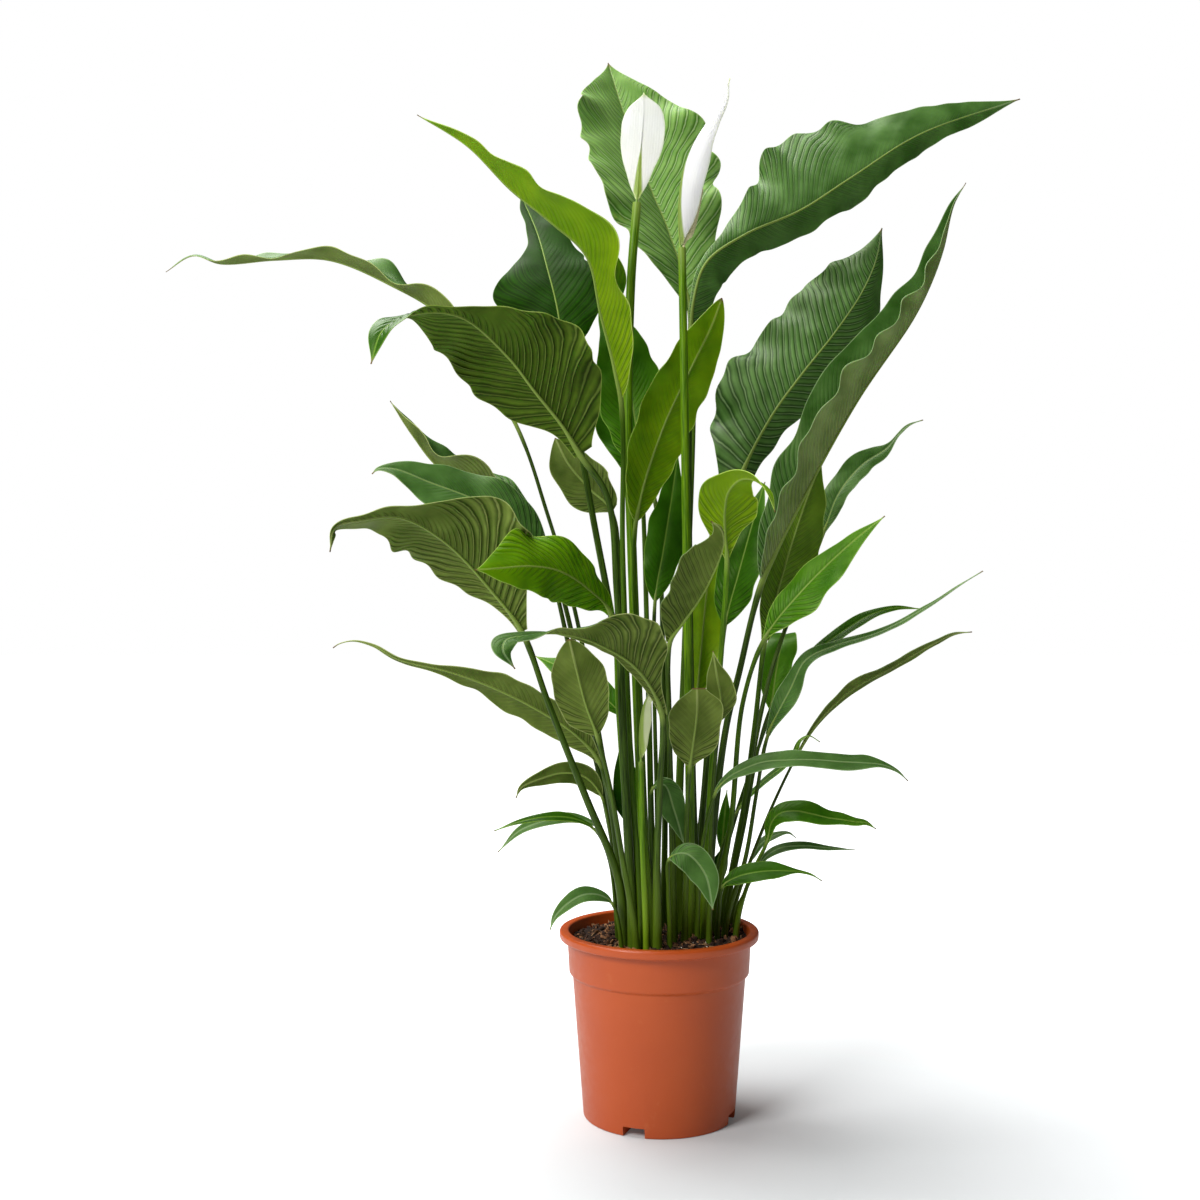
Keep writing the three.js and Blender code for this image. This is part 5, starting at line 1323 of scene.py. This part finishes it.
def rod_part(along, length, radius, steps, sides, relief=None):
    """A round rod along a line, as a part to join; radius gives its size at a share of the length."""
    share = np.linspace(0, 1, steps)
    run = share * length
    centre, heading = along(run)
    up = np.empty_like(heading)
    up[0] = square_to(np.array([0, -1.0, 0]), heading[0])
    for i in range(1, steps):
        up[i] = square_to(up[i - 1], heading[i])
    side = np.cross(heading, up)
    angle = math.pi * (1 - (2 * np.arange(sides) + 1) / sides)
    thick = np.array([radius(s) for s in share])[:, None] + np.zeros(sides)
    if relief is not None:
        thick = thick + relief(run[:, None], angle, thick)
    rings = centre[:, None] + side[:, None] * (np.cos(angle) * thick)[..., None]
    rings = rings + up[:, None] * (np.sin(angle) * thick)[..., None]
    height = (rings[..., 2] - SOIL_LEVEL) / LIFE_HEIGHT
    grain, life = rod_maps(thick, angle, run, [share[:, None], 0.5, height])
    return rings, np.zeros(len(ring_faces(steps, sides))), {"grain": grain, "life": life}


def spathe_skin(name, base, wedge, wedge_share):
    """Waxy spathe: cool white or pale green, ribbed lengthwise, with a green wedge up its middle."""
    made, tree = new_material(name)
    veins = add_node(tree, "ShaderNodeAttribute", attribute_name="vein_map")["Vector"]
    from_rib, from_edge = add_node(tree, "ShaderNodeSeparateXYZ", {"Vector": veins})[1:3]
    growth = add_node(tree, "ShaderNodeAttribute", attribute_name="leaf_map")["Vector"]
    along = add_node(tree, "ShaderNodeSeparateXYZ", {"Vector": growth})[0]
    off_rib = add_node(tree, "ShaderNodeMath", {0: from_rib}, operation="ABSOLUTE")[0]
    widest, narrowest = WEDGE_HALF_WIDTHS
    half = add_node(
        tree, "ShaderNodeMapRange",
        {"Value": along, "From Max": wedge_share, "To Min": widest, "To Max": narrowest},
    )[0]
    ratio = add_node(tree, "ShaderNodeMath", {0: off_rib, 1: half}, operation="DIVIDE")[0]
    middle = add_node(
        tree, "ShaderNodeMapRange",
        {"Value": ratio, "From Min": 0.6, "From Max": 1.2, "To Min": 1, "To Max": 0},
        interpolation_type="SMOOTHSTEP",
    )[0]
    near = add_node(
        tree, "ShaderNodeMapRange",
        {"Value": along, "From Min": wedge_share * 0.8, "From Max": wedge_share * 1.1,
         "To Min": 1, "To Max": 0.12},
    )[0]
    tip = add_node(tree, "ShaderNodeMapRange", {"Value": along, "From Min": 0.94, "From Max": 1})[0]
    green = add_node(tree, "ShaderNodeMath", {0: middle, 1: near}, operation="MULTIPLY")[0]
    green = add_node(tree, "ShaderNodeMath", {0: green, 1: tip}, operation="MAXIMUM")[0]
    rim = add_node(
        tree, "ShaderNodeMapRange",
        {"Value": from_edge, "From Min": 0.3, "From Max": 2.2, "To Min": 0.5, "To Max": 0},
    )[0]
    colour = linear(base)
    for share, tint in [(green, wedge), (rim, "#bccb84")]:
        colour = add_node(tree, "ShaderNodeMix", {0: share, 6: colour, 7: linear(tint)}, data_type="RGBA")[2]
    turns = 2 * math.pi / SPATHE_RIB_SPACING
    wave = add_node(tree, "ShaderNodeMath", {0: off_rib, 1: turns}, operation="MULTIPLY")[0]
    wave = add_node(tree, "ShaderNodeMath", {0: wave}, operation="SINE")[0]
    bump = add_node(
        tree, "ShaderNodeBump", {"Height": wave, "Strength": 0.25, "Distance": 0.1 * MM}
    )["Normal"]
    shader = add_node(
        tree, "ShaderNodeBsdfPrincipled",
        {"Base Color": colour, "Roughness": 0.45, "IOR": WAX_IOR, "Normal": bump,
         "Subsurface Weight": 0.85, "Subsurface Radius": (1, 1, 0.8), "Subsurface Scale": 7 * MM},
    )["BSDF"]
    add_node(tree, "ShaderNodeOutputMaterial", {"Surface": shader})
    return made


def floret_skin():
    """Cream florets, greener in random specks, with a dull pollen bloom."""
    made, tree = new_material("cream spadix florets")
    place = add_node(tree, "ShaderNodeTexCoord")["Object"]
    scale = 1 / (POLLEN_SIZE * MM)
    speck = add_node(tree, "ShaderNodeTexNoise", {"Vector": place, "Scale": scale, "Detail": 3})["Fac"]
    colour = add_node(
        tree, "ShaderNodeMix", {0: speck, 6: linear("#b9b878"), 7: linear("#efe7bd")}, data_type="RGBA"
    )[2]
    bump = add_node(
        tree, "ShaderNodeBump", {"Height": speck, "Strength": 0.5, "Distance": 0.2 * MM}
    )["Normal"]
    shader = add_node(
        tree, "ShaderNodeBsdfPrincipled",
        {"Base Color": colour, "Roughness": 0.7, "IOR": 1.4, "Normal": bump},
    )["BSDF"]
    add_node(tree, "ShaderNodeOutputMaterial", {"Surface": shader})
    return made


spathe_inside = spathe_skin("spathe, inner face", "#ece9dc", "#cfd9a2", 0.3)
spathe_back = spathe_skin("spathe, back", "#f0ece0", "#74902c", 0.5)
spathe_young = spathe_skin("spathe of the young bloom", "#c3cf94", "#8aa63c", 0.9)
spathe_neck = stalk_skin("spathe neck", "#8fb04a", "#6f9638", "#98b857")
bloom_stalk_skin = stalk_skin("bloom stalk", "#7f9f1c", "#3f6604", "#6f960f", 0.38)
florets = floret_skin()
HOOD_USUAL = dict(LEAF_USUAL, veins=6, depth=0.12, ruffle=0.02, scallop=0.02, crumple=0.08, flare=0)


def floret_relief(run, angle, thick):
    """Knobs in crossing spirals, on the fat part of the spadix only."""
    turn, rise = FLORET_SPIRALS * angle, 2 * math.pi / FLORET_SPACING * run
    knobs = (1 + np.cos(turn + rise)) * (1 + np.cos(turn - rise)) / 4
    return FLORET_HEIGHT * knobs * ease((thick - 2) / 1.2)


for name, bloom in BLOOMS.items():
    stem = rooted(bloom["root"], [sighted(p) for p in bloom["stem"]])
    along, run = follow(stem)
    stalk_part = rod_part(
        along, run[-1], lambda s: bloom["radius"] * (BLOOM_STALK_FLARE + (1 - BLOOM_STALK_FLARE) * s), 120, 20
    )
    stalk = joined(f"{name}_stalk_grown", [stalk_part], [bloom_stalk_skin])
    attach(stalk, "root")
    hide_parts(f"{name}_stalk")

    to_spadix = np.array(bloom["front"], float)
    seat = seat_on(stem, -to_spadix)
    along, run = follow([*seat, *map(sighted, bloom["hood"])])
    draw = np.random.default_rng(sum(map(ord, name)))
    hood = {**HOOD_USUAL, **bloom, "radius": HOOD_NECK_RADIUS}
    parts = leaf_parts(hood, along, run[2], run[-1] - run[2], draw, SPATHE_THICKNESS, 12)
    inside, back = (spathe_inside, spathe_back) if "spike" in bloom else (spathe_young, spathe_young)
    spathe = joined(f"{name}_spathe_grown", parts, [inside, back, spathe_neck])
    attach(spathe, "root")
    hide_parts(f"{name}_spathe")

    if "spike" in bloom:
        along, run = follow([*seat_on(stem, to_spadix), *map(sighted, bloom["spike"])])

        def thick(s):
            swell = SPADIX_BASE_RADIUS + SPADIX_SWELL * max(s - SPADIX_STIPE, 0)
            return min(bloom["spike_radius"] - 0.5, swell, SPADIX_BASE_RADIUS + SPADIX_SWELL * (1 - s))

        spadix = joined(
            f"{name}_spadix_grown", [rod_part(along, run[-1], thick, 130, 64, floret_relief)], [florets]
        )
        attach(spadix, "root")
        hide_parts(f"{name}_spadix")

# ---------------------------------------------------------------- studio
# A pale floor of matt acrylic, a large soft box overhead, a smaller one high on the left in front, and a
# camera at the height of the leaves. All in metres. The floor glows though it is no lamp: painted light that
# keeps it white, dimmed round a spot by the pot into a painted shadow.
FLOOR_EDGE = 12
# Painted shadow: the floor's glow is least near this spot by the pot and full a metre from it.
PAINTED_SHADOW_SPOT = (0.06, -0.14, 0)
PAINTED_SHADOW_WITHIN = 0.1
WHITE_BEYOND = 1
GLOW_IN_PAINTED_SHADOW = 0.03
UNSEEN_PAINTED_GLOW = 0.2


def painted_glow_floor():
    """Matt white acrylic glowing though no lamp, so shadows stay soft: painted light, dimmed by the pot to a
    shadow.
    """
    made, tree = new_material("matt white floor with painted glow")
    place = add_node(tree, "ShaderNodeTexCoord")["Object"]
    away = add_node(tree, "ShaderNodeVectorMath", {0: place, 1: PAINTED_SHADOW_SPOT}, operation="DISTANCE")["Value"]
    painted_glow = add_node(
        tree, "ShaderNodeMapRange",
        {"Value": away, "From Min": PAINTED_SHADOW_WITHIN, "From Max": WHITE_BEYOND, "To Min": GLOW_IN_PAINTED_SHADOW},
    )[0]
    # Rays other than the camera's see only a share of the painted glow.
    seen = add_node(tree, "ShaderNodeLightPath")["Is Camera Ray"]
    share = add_node(tree, "ShaderNodeMapRange", {"Value": seen, "To Min": UNSEEN_PAINTED_GLOW})[0]
    painted_glow = add_node(tree, "ShaderNodeMath", {0: painted_glow, 1: share}, operation="MULTIPLY")[0]
    shader = add_node(
        tree, "ShaderNodeBsdfPrincipled",
        {"Base Color": linear("#d5d8d9"), "Roughness": 0.9, "Specular IOR Level": 0.1,
         "Emission Color": (1, 1, 1, 1), "Emission Strength": painted_glow},
    )["BSDF"]
    add_node(tree, "ShaderNodeOutputMaterial", {"Surface": shader})
    return made


floor_mesh = bpy.data.meshes.new("floor")
floor_corners = [(x * FLOOR_EDGE, y * FLOOR_EDGE, 0) for x, y in [(-1, -1), (1, -1), (1, 1), (-1, 1)]]
floor_mesh.from_pydata(floor_corners, [], [(0, 1, 2, 3)])
floor_mesh.materials.append(painted_glow_floor())
floor_mesh.materials[0].cycles.emission_sampling = "NONE"
floor = bpy.data.objects.new("floor", floor_mesh)
bpy.context.scene.collection.objects.link(floor)


def soft_light(name, place, aim, size, power):
    """A square soft box that looks from place at aim, in metres and watts."""
    lamp = bpy.data.lights.new(name, "AREA")
    lamp.size = size
    lamp.energy = power
    light = bpy.data.objects.new(name, lamp)
    light.location = place
    toward = np.array(aim) - np.array(place)
    flat = math.hypot(toward[0], toward[1])
    light.rotation_euler = (math.atan2(flat, -toward[2]), 0, math.atan2(-toward[0], toward[1]))
    bpy.context.scene.collection.objects.link(light)


soft_light("overhead", place=(-0.8, 0.35, 2.6), aim=(-0.1, 0, 0.3), size=1.8, power=92)
soft_light("key", place=(-1.6, -1.7, 1.9), aim=(0, 0, 0.5), size=1, power=62)

# The backdrop is white to the eye, and lights the plant only faintly.
world = bpy.data.worlds.new("white studio")
world.use_nodes = True
studio = world.node_tree
studio.nodes.clear()
room = add_node(studio, "ShaderNodeBackground", {"Color": (1, 1, 1, 1), "Strength": 0.1})["Background"]
backdrop = add_node(studio, "ShaderNodeBackground", {"Color": (1, 1, 1, 1), "Strength": 1})["Background"]
seen = add_node(studio, "ShaderNodeLightPath")["Is Camera Ray"]
both = add_node(studio, "ShaderNodeMixShader", {0: seen, 1: room, 2: backdrop})["Shader"]
add_node(studio, "ShaderNodeOutputWorld", {"Surface": both})
bpy.context.scene.world = world
world.cycles.sampling_method = "NONE"
bpy.context.scene.cycles.use_light_tree = False
bpy.context.scene.view_settings.view_transform = "Standard"

# One pixel of the picture's width is one millimetre at the pot's axis.
FRAME_ACROSS = 1200
SENSOR = 36
eye = bpy.data.cameras.new("camera")
eye.sensor_width = SENSOR
eye.lens = SENSOR * EYE_DISTANCE / FRAME_ACROSS
camera = bpy.data.objects.new("camera", eye)
camera.location = (EYE_ACROSS * MM, -EYE_DISTANCE * MM, EYE_HEIGHT * MM)
camera.rotation_euler = (math.pi / 2, 0, 0)
bpy.context.scene.collection.objects.link(camera)
bpy.context.scene.camera = camera
